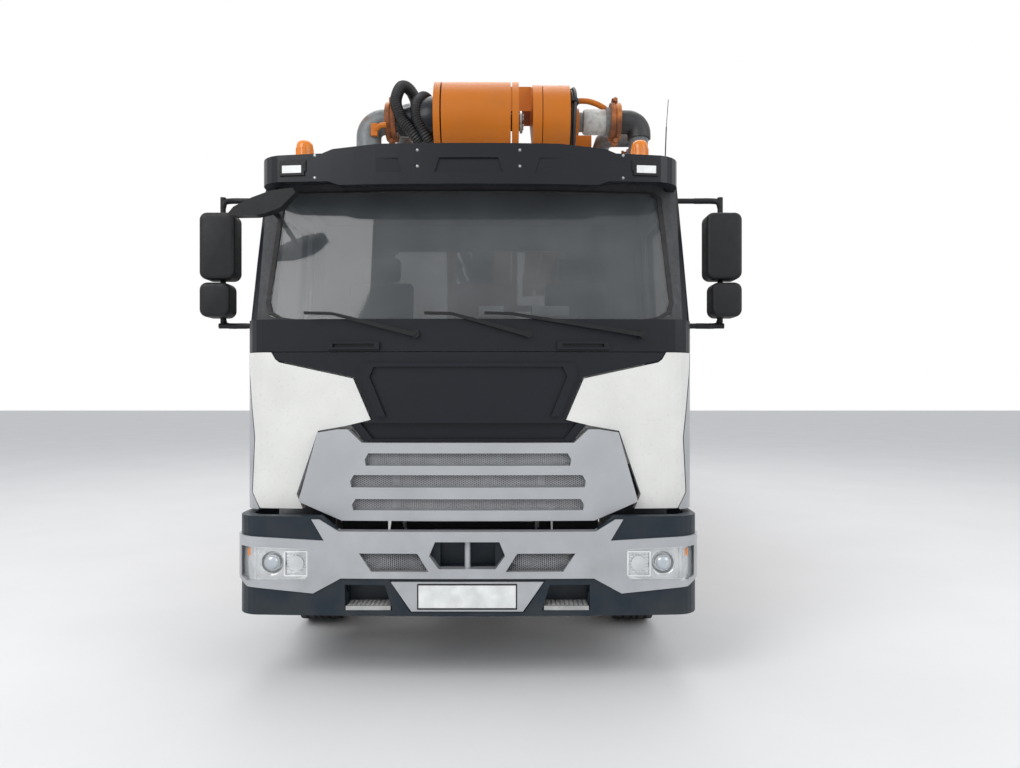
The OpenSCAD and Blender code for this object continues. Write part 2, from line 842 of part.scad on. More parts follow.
module linear_extrude_arm(at, reach) {
  translate([0, 0, arm_low])
    linear_extrude(arm_h)
      polygon([[pin_x + 20, front + at - 60], [pin_x + 110, front + at - 20], [pin_x + 210 + arm_w / 2, front + at + 500],
        [pin_x + 210 + arm_w / 2 - 10, front + at + reach], [pin_x + 140, front + at + reach],
        [pin_x + 130, front + at + 600], [pin_x - 60, front + at + 80]]);
}

module leg(side, at, reach) {
  color("gray")
    scale_side(side)
      union() {
        block([pin_x + 210 - leg_w / 2, pin_x + 210 + leg_w / 2],
          [front + at + reach - leg_w / 2, front + at + reach + leg_w / 2], [leg_low + 30, 1180]);
        bar_z(pin_x + 210, front + at + reach, [leg_low, leg_low + 36], 150);
      }
}

// Two delivery cylinders with their water box and drive cylinders
pump_from = length - 5000;
pump_to = length - 1220;
module pump_unit() {
  color("gray")
    difference() {
      union() {
        for (x = [-175, 175])
          union() {
            bar_y(x, [front + pump_from, front + pump_from + 1500], 1160, 75);
            bar_y(x, [front + pump_from + 1900, front + pump_to], 1160, 125);
          }
        block([-340, 340], [front + pump_from + 1500, front + pump_from + 1900], [rail_top - 40, 1315]);
        block([-330, 330], [front + pump_from - 60, front + pump_from], [rail_top - 40, 1270]);
      }
      hopper_body();
    }
}

// Hopper with sloping walls, open at the top, and its grate hinge
hopper_from = length - 1250;
hinge_y = front + hopper_from + 45;
hinge_z = hopper_z + 26;
module hopper_body() {
  w = hopper_w / 2;
  intersection() {
    side_prism([-w, w], [[front + hopper_from, 900], [front + hopper_from + 200, 640], [rear - 380, 640],
      [rear - 120, 1050], [rear - 90, hopper_z], [front + hopper_from + 20, hopper_z]]);
    front_prism([front + hopper_from - 10, rear], whole([[w, hopper_z], [w, 1150], [w - 260, 640]]));
  }
}

module hopper() {
  w = hopper_w / 2;
  color("darkorange")
    union() {
      difference() {
        union() {
          hopper_body();
          block([-w - 25, w + 25], [front + hopper_from + 20, rear - 70], [hopper_z - 50, hopper_z]);
        }
        intersection() {
          side_prism([-w + 20, w - 20], [[front + hopper_from + 70, 910], [front + hopper_from + 230, 680], [rear - 400, 680],
            [rear - 145, 1060], [rear - 115, hopper_z + 10], [front + hopper_from + 70, hopper_z + 10]]);
          front_prism([front + hopper_from - 10, rear], whole([[w - 20, hopper_z + 10], [w - 20, 1155], [w - 275, 680]]));
        }
        bar_x([-w - 30, w + 30], rear - 620, 960, 40 + fit);
      }
      both_sides()
        union() {
          bar_x([470, 560], hinge_y, hinge_z, 10);
          for (x = [470, 548])
            block([x, x + 12], [hinge_y - 14, hinge_y + 14], [hopper_z - 1, hinge_z + 14]);
          block([310, 390], [rear - 1500, front + hopper_from + 60], [900, 1000]);
          side_prism([400, 480], [[rear - 385, 640], [rear - 353, 690], [rear - 70, 690], [rear - 70, 480],
            [rear - 385, 560]]);
        }
      block([-1200, 1200], [rear - 70, rear], [460, 600]);
    }
}

module hopper_grate() {
  w = hopper_w / 2 - 30;
  color("dimgray")
    union() {
      both_sides()
        difference() {
          union() {
            bar_x([486, 544], hinge_y, hinge_z, 18);
            block([486, 544], [hinge_y, front + hopper_from + 75], [hinge_z - 16, hinge_z + 16]);
          }
          bar_x([480, 550], hinge_y, hinge_z, 10 + fit);
        }
      for (x = [-w : w / 6 : w + 1])
        block([x - 8, x + 8], [front + hopper_from + 70, rear - 170], [hopper_z + 8, hopper_z + 48]);
      for (y = [front + hopper_from + 70, (front + hopper_from + rear - 100) / 2, rear - 184])
        block([-w - 8, w + 8], [y, y + 14], [hopper_z + 10, hopper_z + 46]);
    }
}

module agitator() {
  w = hopper_w / 2;
  color("gray")
    translate([0, rear - 620, 960])
      union() {
        bar_x([-w - 60, w + 60], 0, 0, 40);
        for (paddle = [[-420, 0], [-200, 90], [200, 180], [420, 270]])
          rotate([paddle[1], 0, 0])
            union() {
              block([paddle[0] - 12, paddle[0] + 12], [-18, 18], [30, 190]);
              block([paddle[0] - 60, paddle[0] + 60], [-10, 10], [150, 210]);
            }
      }
}

module cooler_pack() {
  color("dimgray")
    union() {
      block([-560, 560], [front + 330, front + 420], [945, 1190]);
      both_sides()
        block([400, 445], [front + 300, front + 331], [945, 1190]);
      block([-389.5, 389.5], [front + 400, front + 480], [600, 1000]);
      both_sides()
        block([478, 740], [front + 330, front + 350], [640, 960]);
    }
}

module door(side) {
  color("whitesmoke")
    scale_side(side)
      union() {
        for (z = hinge_z_table)
          door_pin([z - 20, z + 20], 14);
        difference() {
          intersection() {
            union() {
              difference() {
                cab_lower(0, [cab_low_z, belt_z]);
                cab_lower(wall, [cab_low_z - 1, belt_z + 1]);
              }
              difference() {
                cab_upper(0, roof_z);
                cab_upper(wall, roof_z);
              }
            }
            side_prism([half_w - 320, half_w + 50], door_edge(gap));
          }
          side_prism([half_w - 320, half_w + 50], door_window(0));
          for (z = hinge_z_table)
            for (low = [z - 45 - run, z + 20])
              door_pin([low, low + 25 + run], 15);
        }
      }
}

module door_glass(side) {
  color("lightblue")
    scale_side(side)
      intersection() {
        union() {
          difference() {
            cab_lower(24, [cab_low_z, belt_z]);
            cab_lower(32, [cab_low_z - 1, belt_z + 1]);
          }
          difference() {
            cab_upper(24, roof_z);
            cab_upper(32, roof_z);
          }
        }
        side_prism([half_w - 320, half_w + 50], door_window(0));
      }
}

// Pipe through a list of points, with round bends of one radius at the corners
function unit(v) = v / norm(v);
function side_axis(v) = abs(v[0]) > 0.9 ? unit(cross(v, [0, 0, 1])) : unit(cross(v, [1, 0, 0]));
function columns(x, y, z, o) = [[x[0], y[0], z[0], o[0]], [x[1], y[1], z[1], o[1]], [x[2], y[2], z[2], o[2]], [0, 0, 0, 1]];
function bend_at(p, i) = acos(unit(p[i] - p[i - 1]) * unit(p[i + 1] - p[i]));
function trim_at(p, i, r) = i == 0 || i == len(p) - 1 ? 0 : r * tan(bend_at(p, i) / 2);

module pipe_path(p, r, bend_r) {
  for (i = [0 : len(p) - 2])
    let(a = unit(p[i + 1] - p[i]), from = p[i] + a * trim_at(p, i, bend_r),
        reach = norm(p[i + 1] - p[i]) - trim_at(p, i, bend_r) - trim_at(p, i + 1, bend_r))
      multmatrix(columns(side_axis(a), cross(a, side_axis(a)), a, from))
        cylinder(h = reach, r = r);
  for (i = [1 : 1 : len(p) - 2])
    let(a = unit(p[i] - p[i - 1]), b = unit(p[i + 1] - p[i]), n = unit(b - a * (a * b)))
      multmatrix(columns(-n, a, cross(-n, a), p[i] - a * trim_at(p, i, bend_r) + n * bend_r))
        rotate_extrude(angle = bend_at(p, i))
          translate([bend_r, 0])
            circle(r = r);
}

// Ring clamps along a pipe, each given by place and axis
module clamp_x(x, y, z) {
  bar_x([x - 32, x + 32], y, z, pipe_d / 2 + 26);
}

module clamp_y(x, y, z) {
  bar_y(x, [y - 32, y + 32], z, pipe_d / 2 + 22);
}

// Boom places
plate_in = 245;
plate_out = 290;
lift_pin = [front + turret_at + 200, 1620];
lift_eye = [front + turret_at - 280, root_z - 345];
elbow_at = length - 1050;
elbow_z = root_z + 165;
top_low = root_z + 175;
top_high = root_z + 440;
tail_at = length - 1700;
body_3 = [455, 640];
body_4 = [690, 850];
pipe_r = pipe_d / 2;
bend_r = 110;

module turret() {
  y = front + turret_at;
  color("darkorange")
    union() {
      bar_z(0, y, [deck_z + 60 + run, deck_z + 120], 440);
      both_sides()
        difference() {
          union() {
            side_prism([plate_in, plate_out], [[y - 320, deck_z + 110], [y + 380, deck_z + 110], [y + 380, 1900],
              [y + 150, 2950], [y - 300, root_z - 60], [front + root_at + 60, root_z + nose_r - 8],
              [front + root_at - 60, root_z - nose_r + 8], [y - 640, 3020], [y - 320, 2650]]);
            bar_x([plate_in, plate_out], front + root_at, root_z, nose_r);
          }
        }
      bar_x([-plate_out - 12, plate_out + 12], front + root_at, root_z, 60);
      bar_x([-plate_in - 10, plate_in + 10], lift_pin[0], lift_pin[1], 40);
      block([-plate_in, plate_in], [y - 320, y - 300], [deck_z + 110, 2500]);
      block([-plate_in, plate_in], [y + 340, y + 380], [deck_z + 110, 1850]);
      block([-plate_in, plate_in], [y - 960, y - 640], [root_z - 360, root_z - 330]);
    }
}

module turret_pipe() {
  color("gray")
    union() {
      pipe_path([[-plate_out, front + 2400, 3085], [-765, front + 2400, 3085], [-765, front + root_at, 3085],
        [-765, front + root_at, root_z], [-602, front + root_at, root_z]], pipe_r, bend_r);
      clamp_x(-380, front + 2400, 3085);
      clamp_y(-765, front + 1850, 3085);
      bar_x([-634, -602], front + root_at, root_z, pipe_r + 38);
    }
}

module boom_1() {
  w = boom_1_w / 2;
  color("darkorange")
    difference() {
      union() {
        side_prism([-w, w], [[front + root_at, root_z - 210], [front + 2600, root_z - 175], [front + 4500, root_z - 165],
          [front + elbow_at - 300, root_z - 90], [front + elbow_at - 300, root_z + 145], [front + 1650, root_z + 145],
          [front + root_at, root_z + 200]]);
        bar_x([-w - 15, w + 15], front + root_at, root_z, nose_r);
        both_sides()
          union() {
            bar_x([boom_2_w / 2 + 8, w], front + elbow_at, elbow_z, 190);
            side_prism([boom_2_w / 2 + 8, w], [[front + elbow_at - 302, root_z - 90], [front + elbow_at - 60, elbow_z - 180],
              [front + elbow_at, elbow_z], [front + elbow_at - 60, elbow_z + 180], [front + elbow_at - 302, root_z + 145]]);
          }
        bar_x([-w - 20, w + 20], front + elbow_at, elbow_z, 55);
        both_sides()
          side_prism([60, 90], [[lift_eye[0] - 150, root_z - 170], [lift_eye[0] - 60, lift_eye[1] - 65],
            [lift_eye[0] + 60, lift_eye[1] - 65], [lift_eye[0] + 150, root_z - 170]]);
        block([-200, 200], [rear - 1850, rear - 1750], [root_z - 248, root_z - 90]);
        side_prism([-w - 9, w + 9], [[front + 2900, root_z + 131], [rear - 1500, root_z + 131], [rear - 1500, root_z + 145],
          [front + 2900, root_z + 145]]);
        side_prism([-w - 9, w + 9], [[front + 4500, root_z - 165], [rear - 1500, root_z - 97], [rear - 1500, root_z - 83],
          [front + 4500, root_z - 151]]);
      }
      bar_x([-w - 40, w + 40], front + root_at, root_z, 60 + fit);
      block([-56, 56], [lift_eye[0] - 330, lift_eye[0] + 90], [root_z - 260, root_z - 150]);
    }
}

module boom_2() {
  w = boom_2_w / 2;
  color("darkorange")
    difference() {
      union() {
        side_prism([-w, w], [[front + 1720, top_low + 60], [front + 1800, top_low], [front + elbow_at - 300, top_low],
          [front + elbow_at - 300, top_high - 20], [front + 2600, top_high], [front + 1720, top_high - 20]]);
        both_sides()
          union() {
            bar_x([w - 40, w], front + elbow_at, elbow_z, 185);
            side_prism([w - 40, w], [[front + elbow_at - 302, top_low], [front + elbow_at - 120, elbow_z - 130],
              [front + elbow_at, elbow_z], [front + elbow_at - 60, elbow_z + 175], [front + elbow_at - 302, top_high - 20]]);
          }
        block([w - 1, 450], [front + 1720, front + 2050], [top_low + 60, top_high - 20]);
        side_prism([387, 450], [[front + root_at, root_z - 200], [front + 1560, root_z - 60], [front + 2050, top_low + 60],
          [front + 2050, top_high - 20], [front + 1720, top_high - 20], [front + root_at - 100, root_z + 200]]);
        bar_x([387, 450], front + root_at, root_z, nose_r - 20);
        bar_x([449, body_3[1] + 10], front + root_at, root_z, 50);
        bar_x([body_3[1] + gap, 712], front + root_at, root_z, 92);
      }
      bar_x([-w - 10, w + 10], front + elbow_at, elbow_z, 55 + fit);
    }
}

module boom_3() {
  color("darkorange")
    difference() {
      union() {
        side_prism(body_3, [[front + root_at, root_z - 180], [front + 2200, root_z - 130], [front + tail_at, root_z - 105],
          [front + tail_at, root_z + 105], [front + 2200, root_z + 130], [front + root_at, root_z + 180]]);
        bar_x(body_3, front + root_at, root_z, nose_r - 22);
        bar_x(body_3, front + tail_at, root_z, 170);
        bar_x([body_3[1] - 1, body_4[1] + 14], front + tail_at, root_z, 45);
        difference() {
          for (at = [2600, 5200, length - 3600])
            union() {
              block([body_3[1] - 40, body_3[1]], [front + at, front + at + 60], [root_z - 200, root_z - 90]);
              block([body_3[1] - 40, 1140], [front + at, front + at + 60], [root_z - 200, root_z - 160]);
            }
          bar_y(1140, [front, rear], root_z - 180, pipe_r + run);
        }
        bar_x([body_4[1] + gap, body_4[1] + 14], front + tail_at, root_z, 60);
      }
      bar_x([body_3[0] - 5, body_3[1] + 5], front + root_at, root_z, 50 + fit);
    }
}

module boom_4() {
  color("darkorange")
    difference() {
      union() {
        side_prism(body_4, [[front + 1720, root_z - 50], [front + tail_at, root_z - 95], [front + tail_at, root_z + 95],
          [front + 1720, root_z + 50]]);
        bar_x(body_4, front + tail_at, root_z, 155);
      }
      bar_x([body_4[0] - 5, body_4[1] + 5], front + tail_at, root_z, 45 + fit);
    }
}

module boom_1_pipe() {
  color("gray")
    union() {
      bar_x([-600, -568], front + root_at, root_z, pipe_r + 38);
      pipe_path([[-600, front + root_at, root_z], [-385, front + root_at, root_z], [-385, front + elbow_at, root_z],
        [-385, front + elbow_at, elbow_z], [-508, front + elbow_at, elbow_z]], pipe_r, 80);
      for (at = [3200, 5600, length - 3400])
        union() {
          clamp_y(-385, front + at, root_z);
          block([-390, -boom_1_w / 2], [front + at + 60, front + at + 110], [root_z - 30, root_z + 30]);
        }
    }
}

module boom_2_pipe() {
  color("gray") {
    union() {
      pipe_path([[-510, front + elbow_at, elbow_z], [-640, front + elbow_at, elbow_z],
        [-640, front + 2000, elbow_z], [-640, front + 2000, root_z + 330],
        [-boom_2_w / 2, front + 2000, root_z + 330]], pipe_r, 80);
      for (at = [3600, 6000, length - 3000])
        union() {
          clamp_y(-640, front + at, elbow_z);
          block([-640, -boom_2_w / 2], [front + at + 60, front + at + 110], [top_low + 10, top_low + 50]);
        }
    }
    union() {
      bar_x([712, 900], front + root_at, root_z, pipe_r);
      bar_x([900, 948], front + root_at, root_z, pipe_r + 34);
    }
  }
}

module boom_3_pipe() {
  color("gray")
    union() {
      bar_x([950, 985], front + root_at, root_z, pipe_r + 34);
      pipe_path([[970, front + root_at, root_z], [1140, front + root_at, root_z], [1140, front + root_at, root_z - 180],
        [1140, front + root_at + 400, root_z - 180]], pipe_r, 85);
      pipe_path([[1140, front + root_at + 399, root_z - 180], [1140, front + tail_at, root_z - 180],
        [1140, front + tail_at, root_z], [1032, front + tail_at, root_z]], pipe_r, 85);
    }
}

module boom_4_pipe() {
  color("gray")
    union() {
      pipe_path([[1030, front + tail_at, root_z], [938, front + tail_at, root_z], [938, front + 1640, root_z],
        [1128, front + 1640, root_z]], pipe_r - 4, 80);
      for (at = [2600, 5200, length - 3600])
        block([body_4[1], 938], [front + at, front + at + 60], [root_z - 20, root_z + 20]);
    }
}

// Lift cylinder drawn along its own axis, foot pin at the origin
lift_l = norm([lift_eye[0] - lift_pin[0], lift_eye[1] - lift_pin[1]]);
lift_lean = atan2(lift_pin[0] - lift_eye[0], lift_eye[1] - lift_pin[1]);
module along_lift() {
  translate([0, lift_pin[0], lift_pin[1]])
    rotate([lift_lean, 0, 0])
      children();
}

module luff_barrel() {
  color("silver")
    along_lift()
      difference() {
        union() {
          bar_x([-60, 60], 0, 0, 85);
          cylinder(h = lift_l - 120, r = 95);
        }
        translate([0, 0, 130])
          cylinder(h = lift_l, r = 70);
        bar_x([-100, 100], 0, 0, 40 + fit);
      }
}

module luff_rod() {
  color("lightgray")
    along_lift()
      union() {
        translate([0, 0, 150])
          cylinder(h = 60, r = 69);
        translate([0, 0, 200])
          cylinder(h = lift_l - 220, r = 50);
        difference() {
          bar_x([-50, 50], 0, lift_l, 62);
          bar_x([-60, 60], 0, lift_l, 36);
        }
      }
}

// Line from the hopper outlet under the deck to the turret
module delivery_line() {
  color("gray")
    difference() {
      union() {
        bar_y(line_x, [front + turret_at + 420, front + hopper_from + 30], line_z, pipe_r);
        for (at = [3600, 5000, length - 3400, length - 1560])
          union() {
            clamp_y(line_x, front + at, line_z);
            block([line_x + 30, line_x + 60], [front + at - 20, front + at + 20], [rail_top, line_z - 40]);
          }
      }
      hopper_body();
    }
}

chassis_frame();
axles();
engine_block();
cooler_pack();
cab_shell();
cab_interior();
windscreen();
dark_panels();
white_panels();
silver_panels();
grille_mesh();
bumper_dark();
bumper_silver();
headlamps();
signal_lamps();
visor();
mirrors();
wipers();
deck();
side_tanks();
outrigger_frame();
pump_unit();
delivery_line();
hopper();
knuckle(1);  // knuckle_left
knuckle(-1);  // knuckle_right
front_wheel(1);  // wheel_front_left
front_wheel(-1);  // wheel_front_right
twin_wheels(1, axle_2);  // wheels_mid_left
twin_wheels(-1, axle_2);  // wheels_mid_right
twin_wheels(1, axle_3);  // wheels_rear_left
twin_wheels(-1, axle_3);  // wheels_rear_right
door(1);  // door_left
door(-1);  // door_right
door_glass(1);  // door_glass_left
door_glass(-1);  // door_glass_right
turret();
turret_pipe();
boom_1();
boom_1_pipe();
boom_2();
boom_2_pipe();
boom_3();
boom_3_pipe();
boom_4();
boom_4_pipe();
luff_barrel();
luff_rod();
hopper_grate();
agitator();
swing_arm(1, front_pin_at, front_arm_l);  // arm_front_left
swing_arm(-1, front_pin_at, front_arm_l);  // arm_front_right
swing_arm(1, rear_pin_at, rear_arm_l);  // arm_rear_left
swing_arm(-1, rear_pin_at, rear_arm_l);  // arm_rear_right
leg(1, front_pin_at, front_arm_l);  // leg_front_left
leg(-1, front_pin_at, front_arm_l);  // leg_front_right
leg(1, rear_pin_at, rear_arm_l);  // leg_rear_left
leg(-1, rear_pin_at, rear_arm_l);  // leg_rear_right
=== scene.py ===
import json
import math

import bmesh
import bpy
from mathutils import Matrix, Vector


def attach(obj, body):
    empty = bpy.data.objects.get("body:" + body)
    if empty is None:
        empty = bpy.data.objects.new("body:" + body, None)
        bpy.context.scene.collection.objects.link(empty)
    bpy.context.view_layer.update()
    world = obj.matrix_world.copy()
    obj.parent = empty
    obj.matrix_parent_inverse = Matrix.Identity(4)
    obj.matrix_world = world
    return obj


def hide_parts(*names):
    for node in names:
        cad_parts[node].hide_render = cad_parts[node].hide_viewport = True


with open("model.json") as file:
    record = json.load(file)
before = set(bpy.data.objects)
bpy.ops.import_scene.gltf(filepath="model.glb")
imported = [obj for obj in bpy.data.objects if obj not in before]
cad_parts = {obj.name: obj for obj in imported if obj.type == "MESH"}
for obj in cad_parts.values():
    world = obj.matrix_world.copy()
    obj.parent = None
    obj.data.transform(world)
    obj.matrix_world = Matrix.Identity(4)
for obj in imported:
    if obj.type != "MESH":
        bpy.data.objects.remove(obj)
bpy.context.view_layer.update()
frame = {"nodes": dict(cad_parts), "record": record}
nodes = frame["nodes"]

LENGTH = 11.4
FRONT = -LENGTH / 2
REAR = LENGTH / 2
RAKE = 13.0   # degrees the windscreen leans back
SILL = 2.006   # height of the windscreen's lower edge
CAB_DEPTH = 1.78
CAB_FLOOR = 1.262
DOOR_FACE = 1.266   # across, to the door's outside
SIDES = ((-1, "right"), (1, "left"))
POLE_MERGE = 1e-6
HOSE_STEP = 0.03   # between the rings of a smooth hose


def at(distance):
    """Place along the vehicle from its distance behind the bumper face."""
    return FRONT + distance


BEACON = (1.02, at(0.56))   # across, along
ROOT = Vector((0, at(1.3), 3.51))   # middle of the boom's root pin
FIRST_FOLD = (at(10.35), 3.675)   # along, height
AGITATOR = (REAR - 0.62, 0.96)   # along, height


# Materials

class Graph:
    """A small helper that adds and joins nodes of one material."""

    def __init__(self, name):
        self.mat = bpy.data.materials.new(name)
        self.mat.use_nodes = True
        self.tree = self.mat.node_tree
        self.bsdf = self.tree.nodes["Principled BSDF"]
        coord = self.tree.nodes.new("ShaderNodeTexCoord")
        self.place = coord.outputs["Object"]

    def feed(self, value, socket):
        """Set a socket: by a link from another socket, or to a constant."""
        if isinstance(value, bpy.types.NodeSocket):
            self.tree.links.new(value, socket)
        else:
            socket.default_value = value

    def add(self, kind, **inputs):
        """A new node, with its inputs given by name and _ for a space."""
        node = self.tree.nodes.new(kind)
        for key, value in inputs.items():
            self.feed(value, node.inputs[key.replace("_", " ")])
        return node

    def noise(self, scale, detail=4.0):
        return self.add("ShaderNodeTexNoise", Vector=self.place, Scale=scale, Detail=detail).outputs["Fac"]

    def ramp(self, value, low, high, a=0.0, b=1.0):
        node = self.add("ShaderNodeMapRange", Value=value, From_Min=low, From_Max=high, To_Min=a, To_Max=b)
        return node.outputs["Result"]

    def mix(self, fac, a, b):
        node = self.tree.nodes.new("ShaderNodeMix")
        node.data_type = "RGBA"
        self.feed(fac, node.inputs[0])
        for slot, value in ((6, a), (7, b)):
            self.feed((*value, 1.0) if isinstance(value, tuple) else value, node.inputs[slot])
        return node.outputs[2]

    def math(self, operation, a, b=0.0):
        node = self.tree.nodes.new("ShaderNodeMath")
        node.operation = operation
        self.feed(a, node.inputs[0])
        self.feed(b, node.inputs[1])
        return node.outputs[0]

    def axes(self):
        return self.add("ShaderNodeSeparateXYZ", Vector=self.place).outputs

    def set(self, **inputs):
        for key, value in inputs.items():
            self.feed(value, self.bsdf.inputs[key.replace("_", " ")])

    def bump(self, value, strength, distance):
        node = self.add("ShaderNodeBump", Height=value, Strength=strength, Distance=distance)
        self.set(Normal=node.outputs["Normal"])


def paint(name, colour, rough=0.3, coat=0.4, dirt_and_shade=0.35, grime_and_shade=(0.16, 0.14, 0.12), metal=0.0, low=0.3, high=1.3,
          shine=0.5):
    """Gloss paint with fine mottling, and a darkening that thins out with height: road dirt low on the truck, painted
    shade on the boom.
    """
    g = Graph(name)
    fine = g.noise(3.0, 6.0)
    speck = g.noise(60.0, 3.0)
    tone = g.mix(g.ramp(fine, 0.35, 0.7), tuple(c * 0.93 for c in colour), tuple(min(1, c * 1.04) for c in colour))
    # Darker towards the bottom between low and high: real road dirt on the truck and wheels, painted shade on the
    # boom.
    fall = g.ramp(g.axes()["Z"], low, high, 1.0, 0.12)
    cover = g.math("MULTIPLY", g.math("MULTIPLY", fall, g.ramp(g.noise(7.0, 8.0), 0.35, 0.75)), dirt_and_shade)
    g.set(Base_Color=g.mix(cover, tone, grime_and_shade), Metallic=metal, Coat_Weight=coat, Coat_Roughness=0.12,
          Specular_IOR_Level=shine)
    g.set(Roughness=g.ramp(speck, 0.3, 0.8, rough * 0.85, rough * 1.25))
    g.bump(speck, 0.015, 0.0004)
    return g.mat


def plain(name, colour, rough=0.6, spread=0.12, metal=0.0, scale=14.0, bump=0.04, grain=90.0, shine=0.5):
    """Plastic, rubber or cast metal with mottled tone and a fine grain."""
    g = Graph(name)
    mottle = g.ramp(g.noise(scale, 5.0), 0.3, 0.7)
    dark = tuple(c * (1 - spread) for c in colour)
    light = tuple(min(1, c * (1 + spread) + 0.002) for c in colour)
    g.set(Base_Color=g.mix(mottle, dark, light), Metallic=metal, Specular_IOR_Level=shine)
    g.set(Roughness=g.ramp(g.noise(scale * 3, 4.0), 0.3, 0.7, rough * 0.85, min(1, rough * 1.15)))
    g.bump(g.noise(grain, 3.0), bump, 0.001)
    return g.mat


def rusty(name, colour, rust=(0.20, 0.09, 0.04), share=0.5, metal=0.3):
    """Worn metal whose paint gives way to rust in patches."""
    g = Graph(name)
    patch = g.ramp(g.noise(5.0, 9.0), share, share + 0.16)
    streak = g.ramp(g.noise(38.0, 6.0), 0.4, 0.65)
    tone = g.mix(streak, colour, tuple(c * 0.75 for c in colour))
    g.set(Base_Color=g.mix(patch, tone, rust), Metallic=metal)
    g.set(Roughness=g.ramp(patch, 0.0, 1.0, 0.45, 0.85))
    g.bump(g.noise(45.0, 6.0), 0.3, 0.0015)
    return g.mat


def glass(name, tint, rough=0.02, alpha=0.35):
    """Tinted glass with faint smears."""
    g = Graph(name)
    smear = g.ramp(g.noise(4.0, 7.0), 0.4, 0.8)
    g.set(Base_Color=g.mix(smear, tint, tuple(min(1, c * 1.3 + 0.02) for c in tint)))
    g.set(Roughness=g.ramp(smear, 0.0, 1.0, rough, rough + 0.06), Alpha=alpha, IOR=1.5)
    return g.mat


ORANGE = (0.54, 0.150, 0.006)
MAT = {
    "cab_white": paint("cab_white_paint", (0.76, 0.76, 0.73), dirt_and_shade=0.30),
    "silver_grey": paint("silver_paint", (0.44, 0.455, 0.475), rough=0.38, metal=0.35, dirt_and_shade=0.30),
    "dark_grey": paint("dark_paint", (0.0075, 0.0095, 0.0140), rough=0.34, coat=0.06, dirt_and_shade=0.06, shine=0.25),
    "bumper_blue_grey": paint("bumper_paint", (0.009, 0.018, 0.028), rough=0.42, coat=0.03, dirt_and_shade=0.16, shine=0.3),
    # The boom's brown darkening, from 2.9 m up to 4.4 m, is painted shade on its lower faces.
    "boom_orange": paint("boom_paint_painted_shade", ORANGE, rough=0.42, coat=0.08, dirt_and_shade=0.16, grime_and_shade=(0.26, 0.17, 0.09),
                         low=2.9, high=4.4, shine=0.3),
    "arm_orange": paint("arm_paint", ORANGE, rough=0.42, coat=0.08, dirt_and_shade=0.45, grime_and_shade=(0.20, 0.16, 0.12), shine=0.3),
    "chassis_grey": plain("chassis_coat", (0.045, 0.046, 0.050), rough=0.6),
    "iron": rusty("axle_iron", (0.06, 0.06, 0.06), share=0.55),
    "black_trim": plain("black_plastic", (0.008, 0.0085, 0.010), rough=0.5, grain=160.0, shine=0.3),
    "window_glass": glass("window_glass_clear", (0.095, 0.104, 0.110), alpha=0.55),
    "lamp_glass": plain("lamp_reflector", (0.62, 0.63, 0.64), rough=0.15, metal=0.9, bump=0.02),
    "amber_lens": plain("amber_plastic", (0.85, 0.24, 0.010), rough=0.2, bump=0.05),
    "pipe_grey": rusty("pipe_paint", (0.17, 0.185, 0.19), share=0.56, metal=0.1),
    "tank_grey": paint("tank_paint", (0.42, 0.43, 0.43), dirt_and_shade=0.3),
    "steel": plain("bare_steel", (0.42, 0.43, 0.44), rough=0.32, metal=0.95, bump=0.05),
    "tyre_rubber": plain("tyre_black", (0.020, 0.020, 0.021), rough=0.85, grain=220.0),
    "mesh_grey": plain("grille_mesh_metal", (0.36, 0.37, 0.38), rough=0.45, metal=0.6, bump=0.02),
    "chrome": plain("lamp_chrome", (0.78, 0.79, 0.80), rough=0.10, metal=1.0, bump=0.02),
    "lens": plain("lamp_lens", (0.50, 0.54, 0.58), rough=0.04, metal=0.3, bump=0.0),
    "clear": glass("lamp_cover_clear", (0.60, 0.63, 0.64), alpha=0.16),
    "white_lens": plain("marker_white", (0.80, 0.81, 0.80), rough=0.25, bump=0.05),
    "red_lens": plain("lamp_red", (0.42, 0.012, 0.010), rough=0.22, bump=0.05),
    "rubber": plain("seal_rubber", (0.012, 0.012, 0.013), rough=0.7),
    "card": plain("blank_card", (0.74, 0.75, 0.74), rough=0.8, bump=0.02),
    "rim_paint": paint("rim_paint", (0.30, 0.31, 0.32), rough=0.4, coat=0.1, dirt_and_shade=0.75, low=0.2, high=1.6),
    "clamp_rust": rusty("clamp_paint", (0.46, 0.15, 0.03), rust=(0.17, 0.06, 0.03), share=0.45, metal=0.2),
    "hose_black": plain("hose_black", (0.020, 0.021, 0.023), rough=0.5, grain=200.0),
    "pale_pipe": rusty("pale_pipe", (0.50, 0.50, 0.48), rust=(0.22, 0.12, 0.07), share=0.58, metal=0.1),
    "mirror_glass": plain("mirror_face", (0.72, 0.75, 0.78), rough=0.03, metal=1.0, bump=0.0, spread=0.02),
    "trim_dark": plain("inner_trim", (0.055, 0.056, 0.060), rough=0.8, bump=0.0),
    "tread": plain("step_tread_metal", (0.42, 0.42, 0.41), rough=0.5, metal=0.5, bump=0.05),
    "seat_cloth": plain("cab_trim", (0.05, 0.05, 0.055), rough=0.9, grain=300.0),
}


def deck_coat():
    """Worn dark deck sheet with a raised diamond tread."""
    g = Graph("deck_tread")
    x, y, _ = g.axes()
    a = g.math("SINE", g.math("MULTIPLY", g.math("ADD", x, y), 105.0))
    b = g.math("SINE", g.math("MULTIPLY", g.math("SUBTRACT", x, y), 105.0))
    stud = g.ramp(g.math("MULTIPLY", a, b), 0.35, 0.7)
    wear = g.ramp(g.noise(2.6, 7.0), 0.42, 0.7)
    g.set(Base_Color=g.mix(wear, (0.050, 0.051, 0.054), (0.16, 0.145, 0.125)), Metallic=0.3)
    g.set(Roughness=g.ramp(wear, 0.0, 1.0, 0.5, 0.85))
    g.bump(stud, 0.6, 0.003)
    return g.mat


MAT["deck_plate"] = deck_coat()


